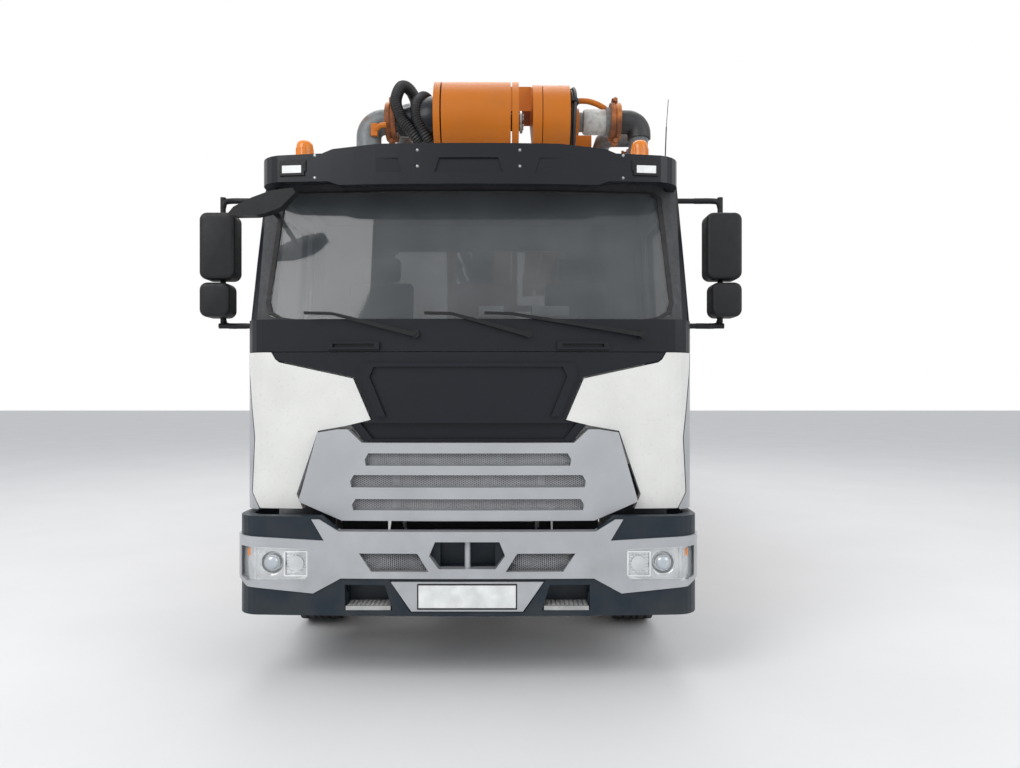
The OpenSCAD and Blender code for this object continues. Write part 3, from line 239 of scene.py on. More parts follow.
def give(obj, mat):
    """Set a piece's only material."""
    obj.data.materials.clear()
    obj.data.materials.append(mat)


for part in frame["record"]["subparts"]:
    give(nodes[part["node"]], MAT[part["material_slot"]])
for name in nodes:
    if name.startswith("arm_") or name in ("hopper", "outrigger_frame"):
        give(nodes[name], MAT["arm_orange"])


def second_coat(name, mat, test):
    """Give another material to the faces of a node whose centre and normal pass a test."""
    mesh = nodes[name].data
    mesh.materials.append(MAT[mat])
    slot = len(mesh.materials) - 1
    for face in mesh.polygons:
        if test(face.center, face.normal):
            face.material_index = slot


def pillar(c, n):
    """The cab shell's dark corner pillars and its frame round the windscreen."""
    if c.z <= SILL:
        return False
    return (c.y < at(0.52) and abs(c.x) > 1.0) or (c.y < at(0.45) and n.y < -0.2)


def inner_wall(c, n):
    """The cab shell's inside."""
    return abs(c.x) < 1.213 and at(0.22) < c.y < at(CAB_DEPTH - 0.045) and 1.24 < c.z < 2.90


second_coat("cab_shell", "dark_grey", pillar)
second_coat("cab_shell", "trim_dark", inner_wall)
second_coat("signal_lamps", "black_trim", lambda c, n: c.y < at(0.4))
second_coat("signal_lamps", "red_lens", lambda c, n: c.y > at(8) and abs(c.x) > 0.97)


def shade(obj, angle=35):
    """Smooth faces up to an angle, sharp beyond it."""
    mesh = obj.data
    mesh.polygons.foreach_set("use_smooth", [True] * len(mesh.polygons))
    mesh.set_sharp_from_angle(angle=math.radians(angle))


def mesh_object(name, bm, mat, body, angle=35):
    """A finished piece from a bmesh, with its material, riding on a body."""
    mesh = bpy.data.meshes.new(name)
    bmesh.ops.recalc_face_normals(bm, faces=bm.faces)
    if all(e.is_manifold for e in bm.edges) and bm.calc_volume(signed=True) < 0:
        bmesh.ops.reverse_faces(bm, faces=bm.faces)
    bm.to_mesh(mesh)
    bm.free()
    obj = bpy.data.objects.new(name, mesh)
    bpy.context.scene.collection.objects.link(obj)
    give(obj, MAT[mat])
    shade(obj, angle)
    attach(obj, body)
    return obj


def block(bm, x, y, z):
    """One block between pairs of limits, given in either order."""
    made = bmesh.ops.create_cube(bm, size=1.0)["verts"]
    bmesh.ops.scale(bm, vec=[abs(b - a) for a, b in (x, y, z)], verts=made)
    bmesh.ops.translate(bm, vec=[(a + b) / 2 for a, b in (x, y, z)], verts=made)
    return made


def blocks(name, mat, body, limits):
    """A piece made of plain blocks."""
    bm = bmesh.new()
    for x, y, z in limits:
        block(bm, x, y, z)
    return mesh_object(name, bm, mat, body)


def bar(bm, a, b, radius, sides=16):
    """One round bar from a to b."""
    a, b = Vector(a), Vector(b)
    made = bmesh.ops.create_cone(bm, cap_ends=True, segments=sides, radius1=radius, radius2=radius,
                                 depth=(b - a).length)["verts"]
    turn = (b - a).to_track_quat("Z", "Y").to_matrix().to_4x4()
    bmesh.ops.transform(bm, matrix=Matrix.Translation((a + b) / 2) @ turn, verts=made)
    return made


def chain(bm, points, closed=False):
    """A line of vertices and edges, to be extruded or spun."""
    verts = [bm.verts.new(p) for p in points]
    pairs = list(zip(verts, verts[1:] + verts[:1]))
    return verts, [bm.edges.new(pair) for pair in (pairs if closed else pairs[:-1])]


def flat(bm, points):
    """One flat face on a few vertices."""
    return bmesh.ops.contextual_create(bm, geom=chain(bm, points, closed=True)[1])["faces"][0]


def pull(bm, edges, move):
    """Extrude edges and put each new vertex where move() sends it; returns the new edges."""
    made = bmesh.ops.extrude_edge_only(bm, edges=edges)["geom"]
    fresh = {v for v in made if isinstance(v, bmesh.types.BMVert)}
    for v in fresh:
        v.co = move(v.co)
    return [e for e in made if isinstance(e, bmesh.types.BMEdge) and all(v in fresh for v in e.verts)]


def thicken(bm, faces, along):
    """Extrude faces into a closed slab."""
    made = bmesh.ops.extrude_face_region(bm, geom=faces)["geom"]
    bmesh.ops.translate(bm, vec=along, verts=[v for v in made if isinstance(v, bmesh.types.BMVert)])


def sheet(bm, columns, place, rows=1):
    """A grid bent into shape: place() gets each point's shares of 0 to 1 across and up."""
    old = set(bm.faces)
    for v in bmesh.ops.create_grid(bm, x_segments=columns, y_segments=rows, size=0.5)["verts"]:
        v.co = place(v.co.x + 0.5, v.co.y + 0.5)
    return [f for f in bm.faces if f not in old]


def revolve(bm, profile, centre, axis, steps=48, solid=True):
    """Spin (radius, along) points a full turn about an axis through centre.

    A solid is closed inside: along the axis where its profile starts or ends there, else by a wall.
    """
    axis = Vector(axis).normalized()
    side = axis.orthogonal().normalized()
    poles = min(r for r, _ in profile) == 0
    if solid and poles:
        profile = [(0, profile[0][1])] * (profile[0][0] > 0) + profile + [(0, profile[-1][1])] * (profile[-1][0] > 0)
    old = set(bm.verts)
    verts, edges = chain(bm, [Vector(centre) + side * r + axis * s for r, s in profile], closed=solid and not poles)
    bmesh.ops.spin(bm, geom=verts + edges, cent=centre, axis=axis, angle=2 * math.pi, steps=steps, use_merge=True)
    made = [v for v in bm.verts if v not in old]
    if poles:
        bmesh.ops.remove_doubles(bm, verts=made, dist=POLE_MERGE)
    return [v for v in made if v.is_valid]


def smooth_path(points, spacing):
    """Points along a smooth curve through the given ones, about one spacing apart."""
    points = [Vector(p) for p in points]
    ends = [points[0]] + points + [points[-1]]
    path = []
    for p0, p1, p2, p3 in zip(ends, ends[1:], ends[2:], ends[3:]):
        count = max(2, int((p2 - p1).length / spacing))
        for t in (k / count for k in range(count)):
            path.append(0.5 * (2 * p1 + (p2 - p0) * t + (2 * p0 - 5 * p1 + 4 * p2 - p3) * t * t
                               + (3 * p1 - p0 - 3 * p2 + p3) * t ** 3))
    return path + [points[-1]]


def hose(bm, points, radius, sides=14, rib=0.0, pitch=HOSE_STEP * 2):
    """A circle pulled along a smooth path and closed at both ends, with ribs when asked for."""
    path = smooth_path(points, pitch / 2 if rib else HOSE_STEP)
    old = set(bm.edges)
    ring = bmesh.ops.create_circle(bm, cap_ends=True, segments=sides, radius=radius)["verts"]
    edges = [e for e in bm.edges if e not in old]
    up = None
    last = Matrix.Identity(4)
    for i, spot in enumerate(path):
        along = (path[min(i + 1, len(path) - 1)] - path[max(i - 1, 0)]).normalized()
        up = along.orthogonal().normalized() if up is None else (up - along * up.dot(along)).normalized()
        grow = Matrix.Scale(1 + (rib / radius if i % 2 else 0.0), 4)
        here = Matrix.Translation(spot) @ Matrix((up, along.cross(up), along)).transposed().to_4x4() @ grow
        move = here @ last.inverted()
        if i:
            edges = pull(bm, edges, lambda co: move @ co)
        else:
            bmesh.ops.transform(bm, matrix=move, verts=ring)
        last = here
    bmesh.ops.contextual_create(bm, geom=edges)


def soft_edges(obj, width, segments=2):
    """Round the sharp edges of a finished piece."""
    mod = obj.modifiers.new("bevel", "BEVEL")
    mod.width = width
    mod.segments = segments
    mod.limit_method = "ANGLE"
    mod.angle_limit = math.radians(40)
    return obj


def give_wall(obj, thickness, offset=0.0):
    """Give a thin sheet its thickness."""
    mod = obj.modifiers.new("solid", "SOLIDIFY")
    mod.thickness = thickness
    mod.offset = offset
    return obj


def front_y(x, inset=0.0, face=0.12, bow=0.045, half=1.265, r=0.15):
    """Depth of the cab's curved lower face at a place across it."""
    x = abs(x)
    if x <= half - r:
        return at(face + inset + bow * (x / (half - r)) ** 2)
    s = min(1.0, (x - (half - r)) / r)
    return at(face + inset + bow + r * (1 - math.sqrt(max(0.0, 1 - s * s))))


def wire_mesh(name, outline, depth_at, body, pitch=0.021, wire=0.0048, lean=1.9):
    """Pressed grille mesh: crossing slanted strips, cut off at a convex outline of (x, z)."""
    bm = bmesh.new()
    xs, zs = zip(*outline)
    low, high = min(zs), max(zs)
    reach = (high - low) * lean
    middle = (low + high) / 2
    length = math.hypot(high - low, reach)
    count = math.ceil((max(xs) - min(xs) + 2 * reach) / pitch)
    for lie in (1, -1):
        turn = Matrix.Rotation(-lie * math.atan2(1, lean), 4, "Y")
        for k in range(count):
            strip = bmesh.ops.create_grid(bm, x_segments=2, y_segments=1, size=0.5)["verts"]
            bmesh.ops.scale(bm, vec=(length, wire, 1), verts=strip)
            bmesh.ops.rotate(bm, cent=(0, 0, 0), matrix=Matrix.Rotation(math.radians(90), 3, "X"), verts=strip)
            spot = Matrix.Translation((min(xs) - reach / 2 + k * pitch, 0, middle))
            bmesh.ops.transform(bm, matrix=spot @ turn, verts=strip)
    centre = Vector((sum(xs) / len(xs), 0, sum(zs) / len(zs)))
    for (x0, z0), (x1, z1) in zip(outline, outline[1:] + outline[:1]):
        edge = Vector((x0, 0, z0))
        out = Vector((z1 - z0, 0, x0 - x1))
        if out.dot(centre - edge) > 0:
            out.negate()
        everything = bm.verts[:] + bm.edges[:] + bm.faces[:]
        bmesh.ops.bisect_plane(bm, geom=everything, plane_co=edge, plane_no=out, clear_outer=True)
    for v in bm.verts:
        v.co.y = depth_at(v.co.x)
    return give_wall(mesh_object(name, bm, "mesh_grey", body), 0.004)


# Front of the cab

def grille_and_vents():
    slots = [(0.560, 1.270, 1.202), (0.640, 1.151, 1.083), (0.630, 1.020, 0.958)]
    for i, (half, top, low) in enumerate(slots):
        half, top, low = half + 0.03, top + 0.02, low - 0.02
        wire_mesh("grille_wire_%d" % i, [(-half, low), (-half, top), (half, top), (half, low)],
                  lambda x: front_y(x, -0.012), "chassis")
    for side, word in SIDES:
        outline = [(side * 0.20, 0.632), (side * 0.26, 0.746), (side * 0.59, 0.746), (side * 0.525, 0.632)]
        wire_mesh("vent_wire_" + word, outline, lambda x: at(0.034), "chassis")
        blocks("vent_back_" + word, "black_trim", "chassis",
               [((side * 0.19, side * 0.60), (at(0.056), at(0.062)), (0.622, 0.756))])
    blocks("radiator_posts", "silver_grey", "chassis",
           [((side * 0.385, side * 0.425), (at(0.176), at(0.182)), (0.93, 1.18)) for side in (-1, 1)])
    blocks("cooler_fins", "steel", "chassis",
           [((-0.37, 0.37), (at(0.388), at(0.401)), (0.845 + k * 0.0095, 0.8495 + k * 0.0095)) for k in range(9)])
    blocks("cooler_ends", "steel", "chassis",
           [((side * 0.376, side * 0.40), (at(0.384), at(0.402)), (0.80, 0.95)) for side in (-1, 1)])


ROUND_LAMP = [(0.063, -0.03), (0.066, -0.002), (0.060, -0.004), (0.050, -0.030), (0.046, -0.045)]   # radius, along
SMALL_LAMP = [(0.022, 0.0), (0.025, 0.004), (0.018, 0.006), (0.012, -0.012)]
SQUARE_LAMP = 0.925   # across, to its middle


def headlamp_parts():
    squares, lenses, amber, chrome = bmesh.new(), bmesh.new(), bmesh.new(), bmesh.new()
    for side in (-1, 1):
        x = side * 1.06
        revolve(chrome, ROUND_LAMP, (x, at(0.055), 0.680), (0, -1, 0), 40)
        ball = bmesh.ops.create_uvsphere(lenses, u_segments=28, v_segments=14, radius=0.040)["verts"]
        bmesh.ops.scale(lenses, vec=(1, 0.55, 1), verts=ball)
        bmesh.ops.translate(lenses, vec=(x, at(0.052), 0.680), verts=ball)
        x = side * SQUARE_LAMP
        for k in range(7):
            z = 0.626 + k * 0.0165
            made = block(squares, (x - 0.052, x + 0.052), (at(0.040), at(0.052)), (z, z + 0.0155))
            lean = Matrix.Rotation(math.radians(10), 3, "X")
            bmesh.ops.rotate(squares, cent=(x, at(0.046), z), matrix=lean, verts=made)
        for dx in (-0.060, 0.060):
            block(squares, (x + dx - 0.004, x + dx + 0.004), (at(0.022), at(0.058)), (0.616, 0.745))
        for low, top in ((0.741, 0.749), (0.612, 0.619)):
            block(squares, (x - 0.06, x + 0.06), (at(0.024), at(0.058)), (low, top))
        block(amber, (side * 1.135, side * 1.195), (at(0.062), at(0.075)), (0.716, 0.758))
        revolve(chrome, SMALL_LAMP, (side * 1.150, at(0.068), 0.645), (0, -1, 0), 24)
    mesh_object("lamp_chrome", chrome, "chrome", "chassis")
    mesh_object("lamp_square_reflectors", squares, "chrome", "chassis")
    mesh_object("lamp_lenses", lenses, "lens", "chassis", 60)
    mesh_object("lamp_amber", amber, "amber_lens", "chassis")


LAMP_CURVE = (0.006, 0.01, 0.032, 1.26, 0.13)
VISOR_CURVE = (0.15, 0.06, 1.200, 0.16)


def lamp_covers():
    """Clear covers over the lamps, on the bumper's curve."""
    for side, word in SIDES:
        bm = bmesh.new()

        def place(t, up, side=side):
            x = 0.868 + (1.222 - 0.868) * t
            top = 0.752 + 0.012 * t
            low = 0.618 - 0.024 * min(1.0, t * 6) + 0.012 * max(0.0, t - 0.9) * 10
            return (side * x, front_y(x, *LAMP_CURVE), low + (top - low) * up)

        sheet(bm, 14, place)
        give_wall(mesh_object("lamp_cover_" + word, bm, "clear", "chassis", 60), 0.003)


def visor_trim():
    bolts = bmesh.new()
    for x in (-0.865, -0.285, 0.285, 0.865):
        outer = abs(x) > 0.8
        for z in (2.932 if outer else 2.952, 2.807 if outer else 2.862):
            spot = (x, front_y(x, 0.0, *VISOR_CURVE), z)
            revolve(bolts, [(0, 0.005), (0.006, 0.004), (0.009, 0.0), (0.009, -0.004)], spot, (0, -1, 0), 14)
    mesh_object("visor_bolts", bolts, "steel", "chassis")
    frames = bmesh.new()
    lenses = bmesh.new()
    for side in (-1, 1):
        for bm, x0, x1, z0, z1, out in ((frames, 0.925, 1.067, 2.822, 2.890, 0.0095),
                                        (lenses, 0.941, 1.051, 2.835, 2.877, 0.0125)):
            def place(t, up, side=side, x0=x0, x1=x1, z0=z0, z1=z1, out=out):
                x = x0 + (x1 - x0) * t
                return (side * x, front_y(x, -out, *VISOR_CURVE), z0 + (z1 - z0) * up)

            thicken(bm, sheet(bm, 10, place), (0, 0.012, 0))
    mesh_object("marker_frames", frames, "black_trim", "chassis")
    mesh_object("marker_lenses", lenses, "white_lens", "chassis")


SCREEN_HALF = 1.12
SCREEN_BOW = 0.045


def screen_trim():
    """Rubber edge, a dark band inside the windscreen's top as painted shadow of the visor, and blank cards of the
    windscreen.
    """
    def place(x, z, inset=0.0):
        beyond = abs(x) - SCREEN_HALF
        bend = SCREEN_BOW * (x / SCREEN_HALF) ** 2 if beyond < 0 else SCREEN_BOW + 0.3 * beyond
        return (x, at(0.200 + inset) + bend + (z - 2.01) * math.tan(math.radians(RAKE)), z)

    half = [(0.0, SILL), (0.5, SILL), (1.000, 2.008), (1.082, 2.020), (1.146, 2.054), (1.166, 2.118), (1.148, 2.36),
            (1.130, 2.60), (1.118, 2.745), (1.072, 2.782), (0.5, 2.788), (0.0, 2.788)]
    loop = half + [(-x, z) for x, z in reversed(half[1:-1])]
    seal = bmesh.new()
    centre = Vector(place(0, 2.4))
    _, first = chain(seal, [Vector(place(x, z, -0.004)) + Vector((0, 0.002, 0)) for x, z in loop], closed=True)
    last = pull(seal, first, lambda co: co + Vector((0, -0.007, 0)))
    last = pull(seal, last, lambda co: co.lerp(centre, 0.022))
    last = pull(seal, last, lambda co: co + Vector((0, 0.009, 0)))
    bmesh.ops.bridge_loops(seal, edges=first + last)
    mesh_object("screen_seal", seal, "rubber", "chassis")
    # A dark sheet inside the glass under the visor: painted shadow of the visor across the windscreen's top.
    band = bmesh.new()
    half = [(0.22, 2.625), (0.64, 2.635), (0.82, 2.655), (0.90, 2.690), (1.06, 2.715)]
    _, edges = chain(band, [place(x, z, 0.026) for x, z in [(-x, z) for x, z in half[::-1]] + half])
    pull(band, edges, lambda co: Vector(place(co.x, 2.78, 0.026)))
    give_wall(mesh_object("screen_top_visor_shadow", band, "black_trim", "chassis"), 0.002)
    cards = bmesh.new()
    for x0, x1 in ((0.052, 0.195), (0.355, 0.565)):
        sheet(cards, 1, lambda t, up: place(x0 + (x1 - x0) * t, 2.035 + 0.06 * up, 0.024))
    give_wall(mesh_object("blank_cards", cards, "card", "chassis"), 0.002, -1.0)


grille_and_vents()
headlamp_parts()
lamp_covers()
visor_trim()
screen_trim()


# Wheels

TYRE_RADIUS = 0.540
TYRE_HALF = 0.1585
SIDEWALL = [(0.292, 0.012), (0.330, 0.004), (0.400, -0.0005), (0.462, 0.002), (0.500, 0.014), (0.523, 0.026)]
TREAD_BANDS = [(-0.126, -0.080, 0), (-0.080, -0.068, 1), (-0.068, -0.026, 0), (-0.026, -0.014, 1), (-0.014, 0.014, 0),
               (0.014, 0.026, 1), (0.026, 0.068, 0), (0.068, 0.080, 1), (0.080, 0.126, 0)]   # from, to, grooved
TREAD_STEPS = 96
RIM_BARREL = [(0.291, -0.146), (0.300, -0.140), (0.285, -0.124), (0.276, -0.07),
              (0.276, 0.07), (0.285, 0.124), (0.300, 0.140), (0.291, 0.146)]
DISH = [(0.100, 0.0), (0.158, 0.0), (0.186, 1.0), (0.205, 1.6), (0.238, 1.8), (0.276, 1.2)]   # radius, hollow's share
HAND_HOLES = 10
HOLE_STEPS = 8


def step_at(place, centre, steps):
    """How many steps round a wheel's axis a point lies."""
    return math.atan2(place.z - centre.z, place.y - centre.y) / (2 * math.pi) * steps % steps


def tyre(bm, centre):
    """Grooved tread between two sidewalls, with a notch in its shoulders at every fourth step."""
    wall = [(r, inset - TYRE_HALF) for r, inset in SIDEWALL]
    tread = []
    for start, end, grooved in TREAD_BANDS:
        r = TYRE_RADIUS - 0.0015 - 0.011 * grooved
        tread += [(r, start + 0.0015), (r, end - 0.0015)]
    for v in revolve(bm, wall + tread + [(r, -s) for r, s in wall[::-1]], centre, (1, 0, 0), TREAD_STEPS):
        out = Vector((0, v.co.y - centre.y, v.co.z - centre.z))
        shoulder = out.length > 0.49 and abs(v.co.x - centre.x) > 0.124
        if shoulder and round(step_at(v.co, centre, TREAD_STEPS)) % 4 == 0:
            v.co -= out.normalized() * 0.008


def rim_dish(bm, centre, dish, hollow):
    """Hollowed disc with a ring of hand holes."""
    steps = HAND_HOLES * HOLE_STEPS
    old = set(bm.faces)
    revolve(bm, [(r, dish + hollow * share) for r, share in DISH], centre, (1, 0, 0), steps, solid=False)
    holes = []
    for face in (f for f in bm.faces if f not in old):
        spot = face.calc_center_median()
        if 0.205 < math.hypot(spot.y - centre.y, spot.z - centre.z) < 0.238:
            if int(step_at(spot, centre, steps)) % HOLE_STEPS in (2, 3, 4, 5):
                holes.append(face)
    bmesh.ops.delete(bm, geom=holes, context="FACES")


def wheel(name, body, x_out, x_in, y, side):
    """Tyre and ventilated steel rim; twin wheels get two tyres."""
    tread, rim, nuts = bmesh.new(), bmesh.new(), bmesh.new()
    twin = x_in is not None
    centre = Vector((x_out, y, TYRE_RADIUS))
    for x in (x_out, x_in) if twin else (x_out,):
        spot = Vector((x, y, TYRE_RADIUS))
        tyre(tread, spot)
        revolve(rim, RIM_BARREL, spot, (1, 0, 0), 64, solid=False)
    dish = side * (-0.055 if twin else 0.075)
    rim_dish(rim, centre, dish, 0.0 if twin else -side * 0.02)
    hub = side * (0.115 if twin else 0.135)
    revolve(rim, [(0.102, dish - side * 0.02), (0.102, dish + side * 0.035), (0.090, dish + side * 0.045),
                  (0.088, hub - side * 0.012), (0.074, hub), (0, hub)], centre, (1, 0, 0), 40, solid=False)
    for k in range(10):
        a = 2 * math.pi * (k + 0.5) / 10
        foot = centre + Vector((dish, 0.132 * math.cos(a), 0.132 * math.sin(a)))
        for start, end, size, sides in ((0, 0.026, 0.0165, 6), (0.024, 0.040, 0.0095, 8)):
            bar(nuts, foot + Vector((side * start, 0, 0)), foot + Vector((side * end, 0, 0)), size, sides)
    piece = mesh_object(name + "_tread", tread, "tyre_rubber", body, 28)
    give_wall(mesh_object(name + "_rim", rim, "rim_paint", body, 30), 0.006, -1.0)
    mesh_object(name + "_nuts", nuts, "steel", body, 30)
    return piece


def all_wheels():
    for side, word in ((1, "left"), (-1, "right")):
        for place, y, twin in (("wheel_front", 1.4, False), ("wheels_mid", 6.15, True), ("wheels_rear", 7.55, True)):
            name = "%s_%s" % (place, word)
            if name not in nodes:
                continue
            x_out, x_in = (side * 1.08, None) if not twin else (side * 1.075, side * 0.725)
            piece = wheel(name, BODY[name], x_out, x_in, at(y), side)
            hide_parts(name)


BODY = {n: body for body, names in frame["record"]["behaviour"]["bodies"].items() for n in names}

all_wheels()


# Boom nose: hoses, clamps and pipe ends

RIBBED_HOSES = [   # from the root pin, along each hose
    [(-0.393, -0.09, -0.175), (-0.455, -0.12, -0.10), (-0.520, -0.125, -0.02), (-0.560, -0.105, 0.11),
     (-0.528, -0.04, 0.235), (-0.470, 0.07, 0.235), (-0.430, 0.24, 0.12), (-0.400, 0.42, 0.02),
     (-0.385, 0.62, -0.02)],
    [(-0.322, -0.10, -0.18), (-0.372, -0.125, -0.10), (-0.408, -0.13, -0.02), (-0.415, -0.11, 0.085),
     (-0.376, -0.03, 0.165), (-0.345, 0.10, 0.165), (-0.330, 0.26, 0.08), (-0.322, 0.44, 0.0), (-0.320, 0.62, -0.02)],
]
SWIVEL = [(0.070, -0.545), (0.098, -0.545), (0.100, -0.50), (0.118, -0.45),
          (0.160, -0.38), (0.172, -0.33), (0.172, -0.298), (0.070, -0.298)]   # radius, across
SLEEVE = [(0.066, 0.742), (0.080, 0.746), (0.086, 0.760), (0.086, 0.925), (0.066, 0.925)]   # radius, across
STAY_RIGHT = [(-0.705, -0.085, -0.085), (-0.672, -0.115, -0.066), (-0.645, -0.122, -0.060),
              (-0.622, -0.124, -0.060)]
STAY_LEFT = [(0.715, 0.02, 0.158), (0.775, 0.02, 0.158), (0.850, 0.02, 0.135), (0.915, 0.02, 0.095),
             (0.955, 0.02, 0.060)]
BUNDLE = [(0.654, 0.205), (0.672, 0.222), (0.667, 0.196)]   # place across, radius of each tied hose
TIES = [20, 95, 160]   # degrees round the boom's end


def from_root(points):
    """Points given from the boom's root pin."""
    return [ROOT + Vector(p) for p in points]


def elbow(start, turn, side, reach, drop):
    """Path of a pipe elbow that leaves the nose sideways and turns down."""
    steps = [math.radians(15 * k) for k in range(7)]
    bend = [(start + side * turn * math.sin(a), 0, turn * (math.cos(a) - 1)) for a in steps]
    return from_root([(reach, 0, 0)] + bend + [(start + side * turn, 0, -drop)])


def nose_parts():
    hoses = bmesh.new()
    for points in RIBBED_HOSES:
        hose(hoses, from_root(points), 0.034, 20, 0.0075, 0.0155)
    mesh_object("nose_hoses", hoses, "hose_black", "boom_1", 60)
    swivel = bmesh.new()
    revolve(swivel, SWIVEL, ROOT, (1, 0, 0), 56)
    mesh_object("nose_swivel", swivel, "dark_grey", "boom_1", 30)
    right = bmesh.new()
    hose(right, elbow(-0.655, 0.11, -1, -0.636, 0.20), 0.087, 32)
    mesh_object("nose_elbow_right_side", right, "pipe_grey", "turret", 50)
    pale = bmesh.new()
    revolve(pale, SLEEVE, ROOT, (1, 0, 0), 40)
    mesh_object("nose_sleeve_pale", pale, "pale_pipe", "boom_2", 30)
    left = bmesh.new()
    hose(left, elbow(1.055, 0.085, 1, 0.990, 0.118), 0.081, 32)
    mesh_object("nose_elbow_left_side", left, "hose_black", "boom_3", 50)
    stay = bmesh.new()
    hose(stay, from_root(STAY_RIGHT), 0.018, 14)
    block(stay, (-0.735, -0.690), (ROOT.y - 0.100, ROOT.y - 0.070), (ROOT.z - 0.125, ROOT.z - 0.040))
    mesh_object("nose_stay_right_side", stay, "boom_orange", "turret", 50)
    stay = bmesh.new()
    hose(stay, from_root(STAY_LEFT), 0.020, 14)
    mesh_object("nose_stay_left_side", stay, "boom_orange", "boom_3", 50)
    bundle = bmesh.new()
    round_end = [math.radians(-70 + 13.5 * i) for i in range(22)]
    for x, r in BUNDLE:
        path = [(x + 0.004 * math.sin(3 * a), -math.cos(a) * r, math.sin(a) * r) for a in round_end]
        hose(bundle, from_root(path), 0.011, 10)
    mesh_object("nose_hose_bundle", bundle, "hose_black", "boom_3", 60)
    ties = bmesh.new()
    for a in (math.radians(angle) for angle in TIES):
        middle = ROOT + Vector((0.664, -math.cos(a) * 0.208, math.sin(a) * 0.208))
        half = Vector((0, math.sin(a), math.cos(a))) * 0.014
        bar(ties, middle - half, middle + half, 0.034, 14)
    mesh_object("nose_hose_ties", ties, "black_trim", "boom_3")


PIPE = 0.0665
CLAMP_WIDE = 0.052


def clamp(bm, place, axis, r=PIPE, wide=CLAMP_WIDE):
    """Two-bolt pipe coupling: a ribbed band with ears and bolts."""
    axis = Vector(axis)
    half = wide / 2
    rise = [(0.002, -half), (0.026, -half), (0.030, 0.006 - half), (0.030, -0.008)]   # over the pipe, along it
    band = rise + [(0.022, 0.0)] + [(out, -along) for out, along in rise[::-1]]
    revolve(bm, [(r + out, along) for out, along in band], place, axis, 40)
    up = Vector((0, 0, 1)) if abs(axis.z) < 0.9 else Vector((0, 1, 0))
    side = axis.cross(up)
    for s in (1, -1):
        ear = Vector(place) + up * s * (r + 0.042)
        block(bm, (ear.x - 0.020, ear.x + 0.020), (ear.y - 0.022, ear.y + 0.022), (ear.z - 0.020, ear.z + 0.020))
        bar(bm, ear - side * 0.052, ear + side * 0.052, 0.0085, 8)
        for t in (-0.05, 0.05):
            bar(bm, ear + side * (t - 0.008), ear + side * (t + 0.008), 0.016, 6)


CLAMPS = [   # piece, body, then place, axis and at need the pipe's radius and the band's width
    ("clamps_turret", "turret", [((-0.601, ROOT.y, ROOT.z), (1, 0, 0), 0.1035, 0.074)]),
    ("clamps_nose_3", "boom_3", [((0.967, ROOT.y, ROOT.z), (1, 0, 0), 0.1000, 0.074)]
        + [((1.14, at(y), ROOT.z - 0.18), (0, 1, 0)) for y in (1.75, 4.4, 7.2)]),
    ("clamps_boom_4", "boom_4", [((0.938, at(y), ROOT.z), (0, 1, 0)) for y in (3.0, 5.8, 8.6)]),
]


def pipe_clamps():
    for name, body, places in CLAMPS:
        bm = bmesh.new()
        for place in places:
            clamp(bm, *place)
        mesh_object(name, bm, "clamp_rust", body)


nose_parts()
pipe_clamps()


# Plate, treads and small fittings of the front

def front_fittings():
    plate = blocks("blank_plate", "card", "chassis", [((-0.262, 0.262), (at(0.0012), at(0.006)), (0.4455, 0.5685))])
    soft_edges(plate, 0.004)
    blocks("plate_frame", "black_trim", "chassis", [(across, (at(0.0004), at(0.007)), up) for across, up in (
        ((-0.268, 0.268), (0.5685, 0.576)), ((-0.268, 0.268), (0.438, 0.4455)),
        ((-0.268, -0.262), (0.4455, 0.5685)), ((0.262, 0.268), (0.4455, 0.5685)))])
    for side, word in SIDES:
        tread = [((side * 0.415, side * 0.652), (at(0.020), at(0.148)), (0.4492, 0.4545)),
                 ((side * 0.413, side * 0.654), (at(0.016), at(0.0215)), (0.432, 0.4545))]
        for x in (0.435 + i * 0.0245 for i in range(9)):
            for y in (at(0.036 + j * 0.028) for j in range(4)):
                tread.append(((side * x, side * (x + 0.013)), (y, y + 0.006), (0.4543, 0.4570)))
        blocks("step_tread_" + word, "tread", "chassis", tread)
    bm = bmesh.new()
    for side in (-1, 1):
        bar(bm, (side * BEACON[0], BEACON[1], 2.99), (side * BEACON[0], BEACON[1], 3.01), 0.047, 24)
    mesh_object("beacon_rings", bm, "black_trim", "chassis")
    bm = bmesh.new()
    pts = [(1.163, at(0.52), 2.86), (1.163, at(0.51), 2.95), (1.170, at(0.50), 3.20), (1.180, at(0.49), 3.36)]
    for a, b, r in zip(pts, pts[1:], (0.007, 0.0035, 0.002)):
        bar(bm, a, b, r, 8)
    mesh_object("whip_aerial", bm, "black_trim", "chassis")


front_fittings()


# Cab sides, mirrors and inside

DOOR_GLASS = [(0.57, 1.88), (1.32, 1.94), (1.32, 2.71), (0.695, 2.71), (0.57, 2.07)]   # behind the front, height


def grown(place, middle, share, out):
    """A point of a flat frame, scaled about the middle and set to a height over the pane."""
    moved = middle + (place - middle) * share
    return Vector((out, moved.y, moved.z))


